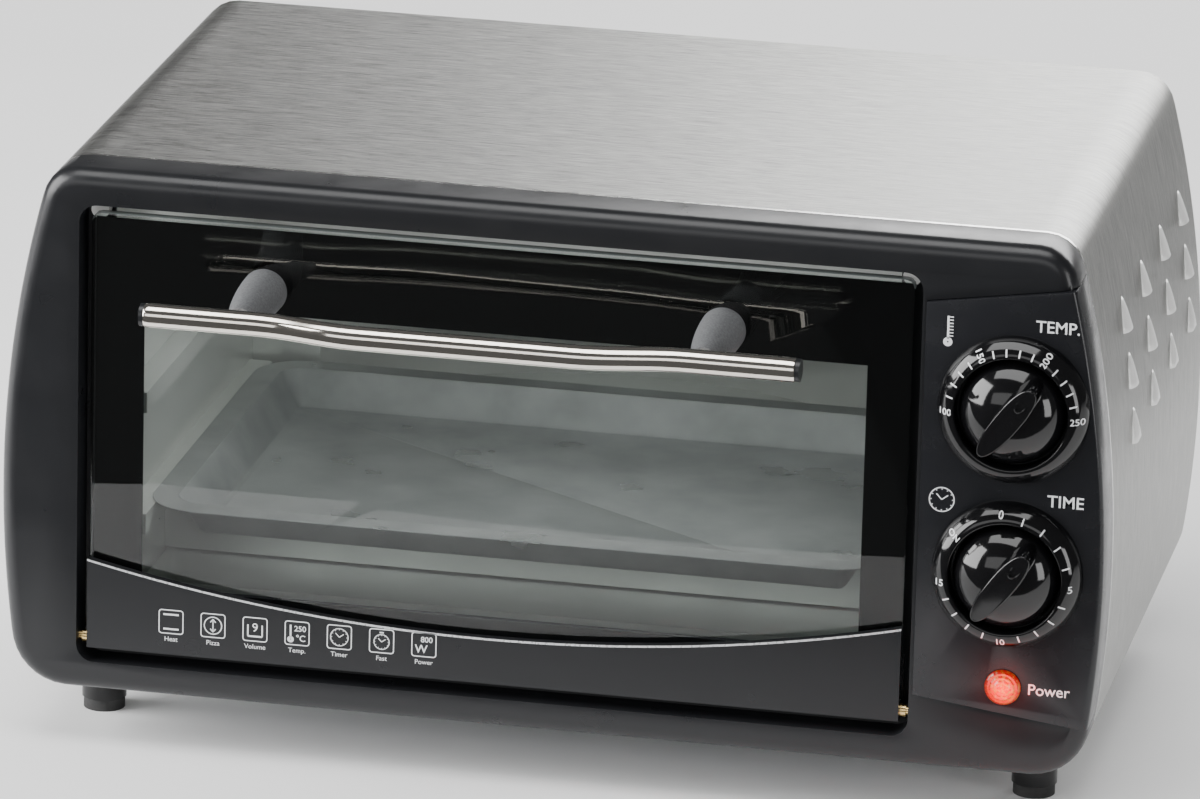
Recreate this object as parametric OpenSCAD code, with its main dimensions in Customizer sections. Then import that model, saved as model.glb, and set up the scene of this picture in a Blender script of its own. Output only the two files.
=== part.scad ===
// Compact toaster oven: a barrel-sided steel body, a drop-down glass door with
// a bowed bar handle, two rotary controls with fixed scale rings, a power lamp,
// a sheet-metal cavity with four heater rods, a baking tray and a crumb tray.
// Millimetres, +X right, +Y to the rear, +Z up, standing on Z = 0.

/* [Body] */
// Greatest width, at the belly of the barrel sides
body_w = 365; // [340:1:420]
// Height of the body without its feet
body_h = 178; // [172:1:200]
// Depth from the bezel's front to the steel cover's rear edge
body_d = 220; // [205:1:260]
// Radius of the barrel sides
side_r = 394; // [320:1:700]
// Height of the belly above the underside of the body
belly_h = 67.5; // [60:0.5:80]
// Radius of the top corners
corner_top = 12.5; // [8:0.5:16]
// Radius of the bottom corners
corner_bottom = 19; // [12:0.5:22]
// Thickness of the steel cover
cover_t = 0.6; // [0.5:0.1:1]
// Height of the feet with their pads
foot_h = 19.2; // [14:0.1:26]
// Diameter of a foot
foot_d = 15; // [12:0.5:18]
// Distance of the feet from the centre line
foot_x = 157; // [145:0.5:160]

/* [Louvres] */
// Louvres in a row, front to back
louvre_cols = 4; // [1:1:4]
// Rows of louvres
louvre_rows = 3; // [1:1:3]
// Distance between louvres along a row
louvre_pitch_y = 42.7; // [20:0.1:44]
// Distance between rows
louvre_pitch_z = 18.6; // [14:0.1:20]
// Height of one louvre
louvre_h = 10.5; // [7:0.5:12]
// Half the width of a louvre's mouth
louvre_r = 4.2; // [3:0.1:5]

/* [Bezel] */
// Depth of the bezel, back to the steel
bezel_d = 20; // [18:0.5:24]
// Wall of the bezel
bezel_wall = 2.5; // [2:0.1:3]
// Depth of the door rebate
rebate_d = 12; // [11.5:0.5:14]

/* [Door] */
// Width of the door
door_w = 270.5; // [240:0.5:272]
// Centre line of the door and cavity from the centre of the body
door_x = -17.65; // [-22:0.05:-17.5]
// Height of the door's bottom edge above the underside of the body
door_low = 15; // [14:0.1:18]
// Height of the door
door_h = 148.2; // [140:0.1:148.5]
// Thickness of the glass
glass_t = 4; // [3:0.5:4]
// Gap between the door and the opening at the sides and top
door_gap = 3.3; // [2.5:0.1:4]
// Gap below the door
door_gap_low = 4.7; // [4:0.1:5.5]
// Lowest point of the rail's curved edge above the door's bottom edge
rail_h = 15.8; // [12:0.1:20]
// Radius of the rail's curved edge
rail_r = 600; // [500:5:900]
// Radius of a hinge pin
pin_r = 1.5; // [1:0.1:1.8]

/* [Handle] */
// Length of the bar
bar_len = 212; // [150:1:230]
// Diameter of the bar
bar_d = 8; // [7:0.5:10]
// Straight length at each end of the bar
bar_end = 35; // [33:1:40]
// Length along the door of each bend
bar_bend = 37; // [30:1:40]
// How far the middle bows out
bar_bow = 6; // [0.5:0.5:7]
// From the glass to the axis of the bar
bar_reach = 36; // [30:0.5:38]
// Height of the bar above the door's bottom edge
bar_z = 126.3; // [100:0.1:128]
// Handle's centre from the door's centre
bar_x = -2; // [-4:0.5:4]
// Diameter of a post at the glass
post_d = 15; // [12:0.5:18]
// Distance of a post from the end of the bar
post_in = 30.5; // [28:0.5:30.5]

/* [Controls] */
// Centre of both dials from the centre of the body
dial_x = 151.7; // [150:0.1:153]
// Height of the temperature dial above the underside of the body
temp_z = 124.8; // [120:0.1:127]
// Height of the time dial above the underside of the body
time_z = 69.6; // [64:0.1:72]
// Outer diameter of a scale ring
ring_d = 49.2; // [44:0.2:50]
// Height of a scale ring
ring_h = 7; // [5:0.5:8]
// Diameter of a knob
knob_d = 35; // [32:0.5:35.5]
// Height of a knob from its back to the front of its grip
knob_h = 18.5; // [15:0.5:22]
// Width of a knob's grip
grip_w = 10.5; // [8:0.5:13]
// Diameter of a control shaft
shaft_d = 6; // [5:0.5:6.5]
// Where the pointers rest, clockwise from twelve o'clock
pointer_deg = 36; // [0:1:60]
// How far the control panel stands proud of the bezel
panel_proud = 2; // [1:0.5:3]
// Height of the lamp above the underside of the body
lamp_z = 31.1; // [30:0.1:32]
// Diameter of the lamp lens
lamp_d = 11.8; // [9:0.2:12]

/* [Cavity] */
// Inside width of the cavity
cavity_w = 259; // [230:1:260]
// Height of the cavity floor above the underside of the body
floor_h = 22.8; // [22.5:0.1:24]
// Inside height of the cavity
cavity_h = 142; // [138:1:142]
// Depth of the cavity from the bezel's front to the back wall
cavity_d = 204.4; // [190:0.1:206]
// Thickness of the cavity sheets
sheet_t = 0.6; // [0.5:0.1:0.8]
// Diameter of the pizza that the rear bulge makes room for
pizza_d = 250; // [244:1:250]
// Height of the shelf above the cavity floor
shelf_h = 32; // [30:0.5:34]
// How far the shelf ribs stand in from the walls
shelf_w = 8; // [7:0.5:9]
// Diameter of a heater rod
rod_d = 6.5; // [6:0.1:8]

/* [Trays] */
// Clearance between the baking tray and each side wall
tray_gap = 5; // [4:0.5:5.5]
// Depth of the baking tray
tray_deep = 12.7; // [10:0.1:13]
// Width of the baking tray's flat rim
tray_rim = 9; // [7:0.5:10]
// Run of the tray's sloping wall
tray_slope = 9; // [6:0.5:12]

/* [Hidden] */
$fn = 72;
eps = 0.05;
far = 600;
run_clear = 0.05;
touch_gap = 0.3;
fit_gap = 0.15;

// Heights and depths that follow from the sizes above
base_z = foot_h;
top_z = foot_h + body_h;
belly_z = foot_h + belly_h;
half_w = body_w/2;
side_cx = half_w - side_r;

door_z = base_z + door_low;
door_top = door_z + door_h;
open_x0 = door_x - door_w/2 - door_gap;
open_x1 = door_x + door_w/2 + door_gap;
open_z0 = door_z - door_gap_low;
open_z1 = door_top + door_gap;
glass_y = 3.5;
glass_back = glass_y + glass_t;
glass_lift = 5.5;
rail_y = 1;
rail_back = 10;
rail_clip = 20;
pivot_y = 5;
pivot_z = door_z + 2.7;
pin_in = 10;
pin_out = 2.4;
pin_head = 2.2;

cav_x0 = door_x - cavity_w/2;
cav_x1 = door_x + cavity_w/2;
cav_z0 = base_z + floor_h;
cav_z1 = cav_z0 + cavity_h;
cav_y0 = rebate_d + 2;
lip_y = rebate_d;
shelf_z = cav_z0 + shelf_h;
stand_z = base_z + cover_t + 0.8;

bulge_y = glass_back + 1.5 + pizza_d/2;
bulge_r = pizza_d/2 + 2;
bulge_z0 = cav_z0 + 18;
bulge_z1 = cav_z0 + 56;
rear_t = 0.8;
rear_y1 = body_d - cover_t;
rear_y0 = rear_y1 - rear_t;
rear_bulge_r = bulge_r + sheet_t + 3.1;
rear_bulge_over = 5;
flange_w = 9;

// Wedge of the control panel
panel_x0 = open_x1 + 1.4;
panel_front = -panel_proud;
panel_seat = 1.2;
panel_skin = 1.5;
panel_low_in = base_z + 25.8;
panel_low_out = base_z + 18.2;
panel_high_in = base_z + 157.8;
panel_high_out = base_z + 167;
panel_back = bezel_d - 0.8;
control_back = panel_seat + bezel_wall;

temp_zz = base_z + temp_z;
time_zz = base_z + time_z;
lamp_zz = base_z + lamp_z;
ring_r = ring_d/2;
ring_hole = knob_d/2 + 0.7;
knob_back = panel_front - 0.6;
knob_skirt = 6;
dome_h = 7;
dome_r = (pow(knob_d/2, 2) + dome_h*dome_h)/(2*dome_h);
shaft_r = shaft_d/2;
shaft_front = knob_back - 11;
shaft_tail = 31;
control_hole = shaft_r + 0.6;
screw_off = 11;

bar_y = glass_y - bar_reach;
bar_zz = door_z + bar_z;
bar_cx = door_x + bar_x;
bar_r = bar_d/2;
bar_wall = 0.8;
cap_t = 1.5;
post_x = bar_len/2 - post_in;
post_r = post_d/2;
bar_mid = bar_len - 2*bar_end - 2*bar_bend;

// The origin is at the bottom centre of the whole object's box
front_most = bar_y - bar_bow - bar_r;
rear_most = bulge_y + rear_bulge_r + rear_t;
frame_y = -(front_most + rear_most)/2;

lower_rod_y = [100, 165];
upper_rod_y = [62, 148];
lower_rod_z = cav_z0 + 11.5;
upper_rod_z = cav_z1 - 11;
shield_y = 82;

foot_y = [41, body_d - 35];
foot_r = foot_d/2;
pad_h = 4;
boss_x = [cav_x0 - 17.5, cav_x1 + 15.4];
boss_z = [base_z + 41, base_z + 152.8];
boss_r = 3.5;

tray_x0 = cav_x0 + tray_gap;
tray_x1 = cav_x1 - tray_gap;
tray_y0 = 28;
tray_y1 = cavity_d - 2.2;
tray_z = shelf_z + touch_gap;
tray_corner = 18;

// ---------- frames and shared shapes ----------

// Every piece is drawn with the bezel's front at y = 0 and then moved to the frame
module at_frame() {
  translate([0, frame_y, 0]) children();
}

// A flat shape in x and z, made a prism from y0 to y1
module along_y(y0, y1) {
  translate([0, y1, 0]) rotate([90, 0, 0]) linear_extrude(y1 - y0) children();
}

module box(x0, x1, y0, y1, z0, z1) {
  translate([x0, y0, z0]) cube([x1 - x0, y1 - y0, z1 - z0]);
}

module rod_x(x0, x1, y, z, r) {
  translate([x0, y, z]) rotate([0, 90, 0]) cylinder(r = r, h = x1 - x0);
}

module rod_y(y0, y1, x, z, r) {
  translate([x, y0, z]) rotate([-90, 0, 0]) cylinder(r = r, h = y1 - y0);
}

// A body of revolution about Y: the profile holds radius and y
module lathe_y(x, z) {
  translate([x, 0, z]) rotate([-90, 0, 0]) rotate_extrude() children();
}

// Half width of the body at a height, at a depth below its skin
function side_x(z, inset) = side_cx + sqrt(pow(side_r - inset, 2) - pow(z - belly_z, 2));

// One rounded corner: what a square corner loses and the round that fills it
function corner_cx(r, zc, inset) = side_cx + sqrt(pow(side_r - inset - r, 2) - pow(zc - belly_z, 2));

module corner_wedge(cx, zc, dir) {
  ux = cx - side_cx;
  uz = zc - belly_z;
  ul = sqrt(ux*ux + uz*uz);
  reach = 60;
  polygon([
    [cx, zc],
    [cx, zc + dir*reach],
    [cx + reach, zc + dir*reach],
    [cx + ux/ul*reach, zc + uz/ul*reach]
  ]);
}

// The body's outline seen from the front, drawn in by an inset
module body_shape(inset = 0) {
  z0 = base_z + inset;
  z1 = top_z - inset;
  rt = max(corner_top - inset, 1);
  rb = max(corner_bottom - inset, 1);
  ct = corner_cx(rt, z1 - rt, inset);
  cb = corner_cx(rb, z0 + rb, inset);
  union() {
    difference() {
      intersection() {
        translate([side_cx, belly_z]) circle(r = side_r - inset, $fn = 720);
        translate([-side_cx, belly_z]) circle(r = side_r - inset, $fn = 720);
        translate([-far, z0]) square([2*far, z1 - z0]);
      }
      for (s = [0, 1]) mirror([s, 0]) {
        corner_wedge(ct, z1 - rt, 1);
        corner_wedge(cb, z0 + rb, -1);
      }
    }
    for (s = [-1, 1]) {
      translate([s*ct, z1 - rt]) circle(r = rt);
      translate([s*cb, z0 + rb]) circle(r = rb);
    }
  }
}

// A rectangle in x and z with rounded corners
module round_rect(x0, x1, z0, z1, r) {
  translate([x0 + r, z0]) square([x1 - x0 - 2*r, z1 - z0]);
  translate([x0, z0 + r]) square([x1 - x0, z1 - z0 - 2*r]);
  for (x = [x0 + r, x1 - r], z = [z0 + r, z1 - r]) translate([x, z]) circle(r = r);
}

// ---------- body ----------

louvre_y0 = 68;
louvre_z0 = base_z + 96;
louvre_out = 1.6;

// A louvre's outline on the side, pointed at the top and open at the bottom
module louvre_prisms(grow, drop) {
  for (col = [0:louvre_cols - 1], row = [0:louvre_rows - 1])
    translate([half_w - 20, louvre_y0 + col*louvre_pitch_y, louvre_z0 + row*louvre_pitch_z])
      rotate([90, 0, 90]) linear_extrude(30) polygon([
        [0, louvre_h + grow], [-louvre_r - grow, 2.5], [-louvre_r - grow + 0.6, -drop],
        [louvre_r + grow - 0.6, -drop], [louvre_r + grow, 2.5]
      ]);
}

module steel_cover() {
  y0 = louvre_y0 - 10;
  y1 = body_d - 10;
  color("silver") at_frame() difference() {
    union() {
      along_y(bezel_d, body_d) difference() {
        body_shape();
        body_shape(cover_t);
      }
      along_y(body_d - cover_t, body_d) difference() {
        body_shape();
        body_shape(flange_w);
      }
      for (s = [0, 1]) mirror([s, 0, 0]) intersection() {
        louvre_prisms(0, 0);
        along_y(y0, y1) difference() {
          body_shape(-louvre_out);
          body_shape(cover_t/2);
        }
      }
    }
    for (s = [0, 1]) mirror([s, 0, 0]) intersection() {
      louvre_prisms(-cover_t, 0.5);
      along_y(y0, y1) body_shape(cover_t - louvre_out);
    }
    box(-140, 140, bezel_d - 1, body_d + 1, base_z - 1, base_z + cover_t + eps);
    box(-150, 150, body_d - cover_t - eps, body_d + 1, base_z - 1, base_z + flange_w + 1);
    for (p = rear_screw_at) rod_y(body_d - 2, body_d + 1, p[0], p[1], rear_screw_r + fit_gap);
    at_feet() cylinder(r = foot_screw_r + fit_gap, h = stand_z + 1);
  }
}

module door_opening() {
  round_rect(open_x0, open_x1, open_z0, open_z1, 6);
}

module panel_wedge(gap) {
  polygon([
    [panel_x0 + gap, panel_low_in + gap],
    [far, panel_low_in + gap + (panel_low_out - panel_low_in)/(half_w - panel_x0)*(far - panel_x0)],
    [far, panel_high_in - gap + (panel_high_out - panel_high_in)/(half_w - panel_x0)*(far - panel_x0)],
    [panel_x0 + gap, panel_high_in - gap]
  ]);
}

module control_holes(r) {
  for (z = [temp_zz, time_zz]) rod_y(-10, 12, dial_x, z, r);
}

module control_screw_holes(r) {
  for (z = [temp_zz, time_zz], s = [-1, 1]) rod_y(-10, control_back + 6, dial_x, z + s*screw_off, r);
}

module front_bezel() {
  edge = [[0, 1.2, 5], [1.2, 3.4, 2.2], [3.4, 6.4, 0.7], [6.4, bezel_d, 0]];
  color("dimgray") at_frame() difference() {
    union() {
      difference() {
        union() {
          for (e = edge) along_y(e[0], e[1]) body_shape(e[2]);
        }
        along_y(control_back, bezel_d + 1) body_shape(bezel_wall + panel_skin);
        along_y(bezel_wall, control_back + eps) intersection() {
          body_shape(bezel_wall + 3);
          translate([-half_w, 0]) square([half_w + panel_x0 - 4, far]);
        }
      }
      along_y(1, lip_y + 2) round_rect(open_x0 - bezel_wall, open_x1 + bezel_wall - 1,
        open_z0 - bezel_wall, open_z1 + bezel_wall, 8);
      for (x = boss_x, z = boss_z) rod_y(1, bezel_d, x, z, boss_r);
    }
    along_y(-1, lip_y) door_opening();
    box(cav_x0, cav_x1, lip_y - 1, lip_y + 3, cav_z0, cav_z1);
    difference() {
      along_y(-1, panel_back + 0.3) panel_wedge(0);
      along_y(panel_seat, bezel_d + 1) body_shape(panel_skin);
    }
    control_holes(control_hole);
    control_screw_holes(1.2);
    rod_y(-1, bezel_d, dial_x, lamp_zz, lamp_d/2 - 0.3);
    for (x = boss_x, z = boss_z) rod_y(8, bezel_d + 1, x, z, bezel_screw_r + fit_gap);
    rod_x(open_x0 - pin_out - 0.4, open_x1 + pin_out + 0.4, pivot_y, pivot_z, pin_r + run_clear);
  }
}

module control_panel() {
  color("black") at_frame() difference() {
    intersection() {
      along_y(panel_front, panel_back) body_shape();
      along_y(panel_front - 1, panel_back + 1) panel_wedge(fit_gap);
    }
    along_y(panel_seat, panel_back + 1) body_shape(panel_skin);
    control_holes(control_hole);
    control_screw_holes(screw_r + fit_gap);
    for (z = [temp_zz, time_zz], s = [-1, 1]) translate([dial_x, panel_front - eps, z + s*screw_off])
      rotate([-90, 0, 0]) cylinder(r1 = screw_head + fit_gap, r2 = screw_r + fit_gap, h = screw_cone);
    rod_y(-10, 10, dial_x, lamp_zz, lamp_d/2 - 0.3);
  }
}

// A convex skirt that falls from the hole's rim to the panel
module dial_ring(z) {
  color("black") at_frame() lathe_y(dial_x, z) intersection() {
    translate([ring_hole, panel_front - ring_h]) square([ring_r - ring_hole, ring_h]);
    translate([ring_hole - 7.5, panel_front + 4.5]) circle(r = ring_r - ring_hole + 8.9);
  }
}

module temp_dial_ring() {
  dial_ring(temp_zz);
}

module time_dial_ring() {
  dial_ring(time_zz);
}

lens_y = panel_front - 2.2;
lens_stem = 9;

module lamp_lens() {
  stem_r = lamp_d/2 - 0.3 - fit_gap;
  color("red") at_frame() union() {
    lathe_y(dial_x, lamp_zz) intersection() {
      translate([0, lens_y]) square([lamp_d/2, panel_front - lens_y]);
      translate([0, lens_y + 12]) circle(r = 12);
    }
    rod_y(panel_front - eps, lens_stem, dial_x, lamp_zz, stem_r);
  }
}

module lamp_housing() {
  color("ivory") at_frame() difference() {
    rod_y(control_back, 30, dial_x, lamp_zz, lamp_d/2 + 1.2);
    rod_y(control_back - 1, lens_stem + touch_gap, dial_x, lamp_zz, lamp_d/2);
  }
}

module base_panel() {
  color("gray") at_frame() difference() {
    union() {
      box(-160, 160, bezel_d, rear_y0, base_z + cover_t, stand_z);
      box(-140, 140, rear_y0 - 0.8, rear_y0, stand_z, stand_z + 12);
    }
    for (x = [-foot_x, foot_x], y = foot_y)
      translate([x, y, 0]) cylinder(r = foot_screw_r + fit_gap, h = far);
    for (p = low_screw_at) rod_y(body_d - 6, body_d, p[0], p[1], rear_screw_r + fit_gap);
    for (i = [0:7]) box(-90 + i*24, -76 + i*24, 60, 63, base_z, stand_z + 1);
  }
}

module bulge_shell(r, t, z0, z1, y_from) {
  difference() {
    translate([door_x, bulge_y, z0]) cylinder(r = r + t, h = z1 - z0);
    translate([door_x, bulge_y, z0 + t]) cylinder(r = r, h = z1 - z0 - 2*t);
    box(-far, far, -far, y_from, -1, far);
  }
}

function chord(r, y) = sqrt(r*r - pow(y - bulge_y, 2));

module rear_panel() {
  z0 = bulge_z0 - rear_bulge_over;
  z1 = bulge_z1 + rear_bulge_over;
  half = chord(rear_bulge_r, rear_y0);
  color("gray") at_frame() difference() {
    union() {
      along_y(rear_y0, rear_y1) body_shape(cover_t + fit_gap);
      bulge_shell(rear_bulge_r, rear_t, z0, z1, rear_y0);
    }
    box(door_x - half, door_x + half, rear_y0 - 1, rear_y1 + eps, z0 + rear_t, z1 - rear_t);
    for (i = [0:9]) box(128, 160, rear_y0 - 1, rear_y1 + 1, base_z + 70 + i*8, base_z + 73 + i*8);
    for (i = [0:11]) box(door_x - 99 + i*17, door_x - 89 + i*17, rear_y0 - 1, rear_y1 + 1,
      base_z + 158, base_z + 161);
    rod_y(rear_y0 - 1, rear_y1 + 1, gland_x, gland_z, gland_r + fit_gap);
    for (p = concat(rear_screw_at, low_screw_at))
      rod_y(rear_y0 - 1, rear_y1 + 1, p[0], p[1], rear_screw_r + fit_gap);
  }
}

gland_x = 143;
gland_z = base_z + 24;
gland_r = 6;

module mains_gland() {
  color("black") at_frame() difference() {
    union() {
      rod_y(rear_y1, rear_y1 + 2.5, gland_x, gland_z, gland_r + 2.5);
      rod_y(rear_y0 - 4, rear_y1 + eps, gland_x, gland_z, gland_r);
    }
    rod_y(rear_y0 - 5, rear_y1 + 4, gland_x, gland_z, 3.4);
  }
}

module at_feet() {
  for (x = [-foot_x, foot_x], y = foot_y) translate([x, y, 0]) children();
}

foot_screw_r = 2;

module feet() {
  color("black") at_frame() at_feet() difference() {
    translate([0, 0, pad_h]) cylinder(r = foot_r, h = foot_h - pad_h);
    translate([0, 0, pad_h - 1]) cylinder(r = 4, h = 6);
    cylinder(r = foot_screw_r + fit_gap, h = far);
  }
}

module foot_pads() {
  color("dimgray") at_frame() at_feet() difference() {
    cylinder(r = foot_r - 0.6, h = pad_h);
    translate([0, 0, -1]) cylinder(r = 4, h = far);
  }
}

module foot_screws() {
  color("silver") at_frame() at_feet() union() {
    translate([0, 0, pad_h + 2.8]) cylinder(r = 3.6, h = 2.2);
    translate([0, 0, pad_h + 4.9]) cylinder(r = foot_screw_r, h = stand_z + 3 - pad_h - 4.9);
  }
}

rear_screw_r = 1.5;
screw_zs = [base_z + 130, base_z + 60];
rear_screw_at = [for (s = [-1, 1]) for (p = concat([[120, top_z - 4.8]],
  [for (z = screw_zs) [side_x(z, flange_w/2 + 0.3), z]])) [s*p[0], p[1]]];
low_screw_at = [for (s = [-1, 1]) [s*110, stand_z + 6]];

module rear_screws() {
  color("silver") at_frame() {
    for (p = rear_screw_at) {
      rod_y(body_d, body_d + 1.8, p[0], p[1], 3);
      rod_y(body_d - 6, body_d + eps, p[0], p[1], rear_screw_r);
    }
    for (p = low_screw_at) {
      rod_y(rear_y1, rear_y1 + 1.8, p[0], p[1], 3);
      rod_y(rear_y0 - 6, rear_y1 + eps, p[0], p[1], rear_screw_r);
    }
  }
}

bezel_screw_r = 1.3;
wall_flange_t = 0.6;

module bezel_screws() {
  y1 = bezel_d + wall_flange_t;
  color("silver") at_frame() for (x = boss_x, z = boss_z) {
    rod_y(y1, y1 + 1.8, x, z, 2.6);
    rod_y(9, y1 + eps, x, z, bezel_screw_r);
  }
}

screw_r = 1.5;
screw_head = 2.8;
screw_cone = 1.4;

module control_screws() {
  color("silver") at_frame() for (z = [temp_zz, time_zz], s = [-1, 1])
    translate([dial_x, panel_front, z + s*screw_off]) rotate([-90, 0, 0]) {
      cylinder(r1 = screw_head, r2 = screw_r, h = screw_cone);
      cylinder(r = screw_r - 0.4, h = control_back - panel_front + 5);
    }
}

bumper_r = 3;

module door_bumpers() {
  color("white") at_frame() for (x = [open_x0 + 5, open_x1 - 5])
    rod_y(glass_back + touch_gap, lip_y, x, open_z1 - bumper_r - 0.5, bumper_r);
}

// ---------- cavity ----------

rib_h = 7;
flange_reach = 23;

module rod_holes(x) {
  for (y = upper_rod_y) rod_x(x - 2, x + 2, y, upper_rod_z, rod_d/2 + 2.2);
  for (y = lower_rod_y) rod_x(x - 2, x + 2, y, lower_rod_z, rod_d/2 + 2.2);
}

// One side wall: x is its inner face and side points away from the cavity
module side_wall(x, side, reach) {
  inner = x;
  outer = x + side*sheet_t;
  color("lightgray") at_frame() difference() {
    union() {
      box(min(inner, outer), max(inner, outer), cav_y0, cavity_d, stand_z, cav_z1 + sheet_t);
      for (z = boss_z) box(min(outer, outer + side*reach), max(outer, outer + side*reach),
        bezel_d, bezel_d + wall_flange_t, z - 9, z + 9);
      for (z = [shelf_z, shelf_z + 42])
        box(min(inner, inner - side*shelf_w), max(inner, inner - side*shelf_w),
          24, cavity_d - 4, z - rib_h, z);
    }
    for (z = [shelf_z, shelf_z + 42])
      box(min(outer, inner - side*(shelf_w - 1)) - eps, max(outer, inner - side*(shelf_w - 1)) + eps,
        25, cavity_d - 5, z - rib_h + 1, z - 1);
    box(x - 1, x + 1, cav_y0 - 1, bezel_d, base_z, base_z + bezel_wall + panel_skin + touch_gap);
    rod_holes(x + side*sheet_t/2);
    for (y = rivet_y) rod_x(x - 2, x + 2, y, rivet_z, rivet_r + fit_gap);
    for (p = shield_tab) rod_x(x - 2, x + 2, p[0], p[1], 1);
    for (bx = boss_x, bz = boss_z) rod_y(bezel_d - 1, bezel_d + 2, bx, bz, bezel_screw_r + fit_gap);
  }
}

module cavity_left_wall() {
  side_wall(cav_x0, -1, flange_reach);
}

module cavity_right_wall() {
  side_wall(cav_x1, 1, flange_reach - 2);
}

module cavity_roof() {
  color("lightgray") at_frame() difference() {
    box(cav_x0, cav_x1, cav_y0, cavity_d, cav_z1, cav_z1 + sheet_t);
    for (i = [0:3]) box(cav_x0 + 30 + i*56, cav_x0 + 60 + i*56, 104, 106, cav_z1 - 1, cav_z1 + 2);
  }
}

module cavity_floor() {
  color("lightgray") at_frame() box(cav_x0, cav_x1, cav_y0, cavity_d, cav_z0 - sheet_t, cav_z0);
}

module cavity_back() {
  half = chord(bulge_r, cavity_d);
  color("lightgray") at_frame() difference() {
    union() {
      box(cav_x0 - sheet_t, cav_x1 + sheet_t, cavity_d, cavity_d + sheet_t, stand_z, cav_z1 + sheet_t);
      bulge_shell(bulge_r, sheet_t, bulge_z0, bulge_z1, cavity_d);
    }
    box(door_x - half, door_x + half, cavity_d - 1, cavity_d + sheet_t + eps,
      bulge_z0 + sheet_t, bulge_z1 - sheet_t);
  }
}

shield_z0 = cav_z0 + 1.6;
shield_h = 14;
shield_tab = [[shield_y + 4, shield_z0 + 10]];

module heater_shield() {
  color("lightgray") at_frame() difference() {
    union() {
      box(cav_x0, cav_x1, shield_y, shield_y + sheet_t, shield_z0, shield_z0 + shield_h);
      box(cav_x0, cav_x0 + sheet_t, shield_y, shield_y + 10, shield_z0 + 4, shield_z0 + shield_h);
      box(cav_x1 - sheet_t, cav_x1, shield_y, shield_y + 10, shield_z0 + 4, shield_z0 + shield_h);
    }
    for (p = shield_tab) rod_x(cav_x0 - 2, cav_x1 + 2, p[0], p[1], 1);
  }
}

rod_over = 12;

module heater_pair(ys, z) {
  color("darkslategray") at_frame() for (y = ys) {
    rod_x(cav_x0 - rod_over, cav_x1 + rod_over, y, z, rod_d/2);
    rod_x(cav_x0 - rod_over - 7, cav_x0 - rod_over + eps, y, z, 1.5);
    rod_x(cav_x1 + rod_over - eps, cav_x1 + rod_over + 7, y, z, 1.5);
  }
}

module upper_heaters() {
  heater_pair(upper_rod_y, upper_rod_z);
}

module lower_heaters() {
  heater_pair(lower_rod_y, lower_rod_z);
}

module insulator(x, side, y, z) {
  difference() {
    union() {
      rod_x(min(x, x + side*8), max(x, x + side*8), y, z, 7);
      rod_x(min(x - side*4, x + side*eps), max(x - side*4, x + side*eps), y, z, rod_d/2 + 2);
    }
    rod_x(x - 20, x + 20, y, z, rod_d/2 + run_clear);
  }
}

module heater_insulators() {
  color("white") at_frame() for (y = upper_rod_y) {
    insulator(cav_x0 - sheet_t, -1, y, upper_rod_z);
    insulator(cav_x1 + sheet_t, 1, y, upper_rod_z);
  }
  color("white") at_frame() for (y = lower_rod_y) {
    insulator(cav_x0 - sheet_t, -1, y, lower_rod_z);
    insulator(cav_x1 + sheet_t, 1, y, lower_rod_z);
  }
}

rivet_y = [40, 72];
rivet_z = cav_z0 + 17.5;
rivet_r = 1.6;

module wall_rivet(x, side) {
  for (y = rivet_y) {
    rod_x(min(x, x - side*1.2), max(x, x - side*1.2), y, rivet_z, 3);
    rod_x(min(x - side*0.1, x + side*2), max(x - side*0.1, x + side*2), y, rivet_z, rivet_r);
  }
}

module wall_rivets() {
  color("silver") at_frame() {
    wall_rivet(cav_x0, -1);
    wall_rivet(cav_x1, 1);
  }
}

// ---------- inside the control compartment ----------

control_w = 30;
tab_w = 5;
tab_t = 0.8;
tab_y0 = 34;
tab_y1 = 42;
temp_tab = 10;
time_tab = 17;
temp_tab_x = [dial_x - 4, dial_x + 4];
time_tab_x = [dial_x - 11, dial_x + 11];

module control_body(z, h) {
  difference() {
    box(dial_x - control_w/2, dial_x + control_w/2, control_back, tab_y0, z - h/2, z + h/2);
    rod_y(control_back - 1, shaft_tail + touch_gap, dial_x, z, shaft_r + run_clear);
    for (s = [-1, 1]) rod_y(control_back - 1, control_back + 7, dial_x, z + s*screw_off, screw_r - 0.3);
  }
}

module thermostat() {
  color("peru") at_frame() union() {
    control_body(temp_zz, 34);
    for (x = temp_tab_x) box(x - tab_w/2, x + tab_w/2, tab_y0, tab_y1, temp_zz + temp_tab, temp_zz + temp_tab + tab_t);
  }
}

module timer() {
  color("silver") at_frame() union() {
    control_body(time_zz, 40);
    rod_y(tab_y0, 48, dial_x, time_zz, 3);
    for (x = time_tab_x) box(x - tab_w/2, x + tab_w/2, tab_y0, tab_y1, time_zz + time_tab, time_zz + time_tab + tab_t);
  }
}

bell_r = 17;

module timer_bell() {
  color("silver") at_frame() lathe_y(dial_x, time_zz) difference() {
    translate([3.2, 40]) square([bell_r - 3.2, 10]);
    translate([7, 39]) square([bell_r - 8, 9.8]);
  }
}

block_y = 150;
block_x0 = dial_x - 18;
block_h = 14;
wire_z = stand_z + 8;

module terminal_block() {
  color("ivory") at_frame() difference() {
    box(block_x0, block_x0 + 32, block_y, block_y + 18, stand_z, stand_z + block_h);
    for (w = wire_runs) rod_y(block_y - 1, block_y + 19, w[0], wire_z, wire_r + run_clear);
  }
}

// Wires are straight runs joined by quarter bends of one radius: each is given
// by its x, the y where it rises and the height of the tab that it meets
wire_r = 1.2;
wire_bend = 6;
wire_runs = [
  [time_tab_x[0], 58, time_zz + time_tab + tab_t/2],
  [temp_tab_x[0], 63, temp_zz + temp_tab + tab_t/2],
  [temp_tab_x[1], 63, temp_zz + temp_tab + tab_t/2]
];

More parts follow.
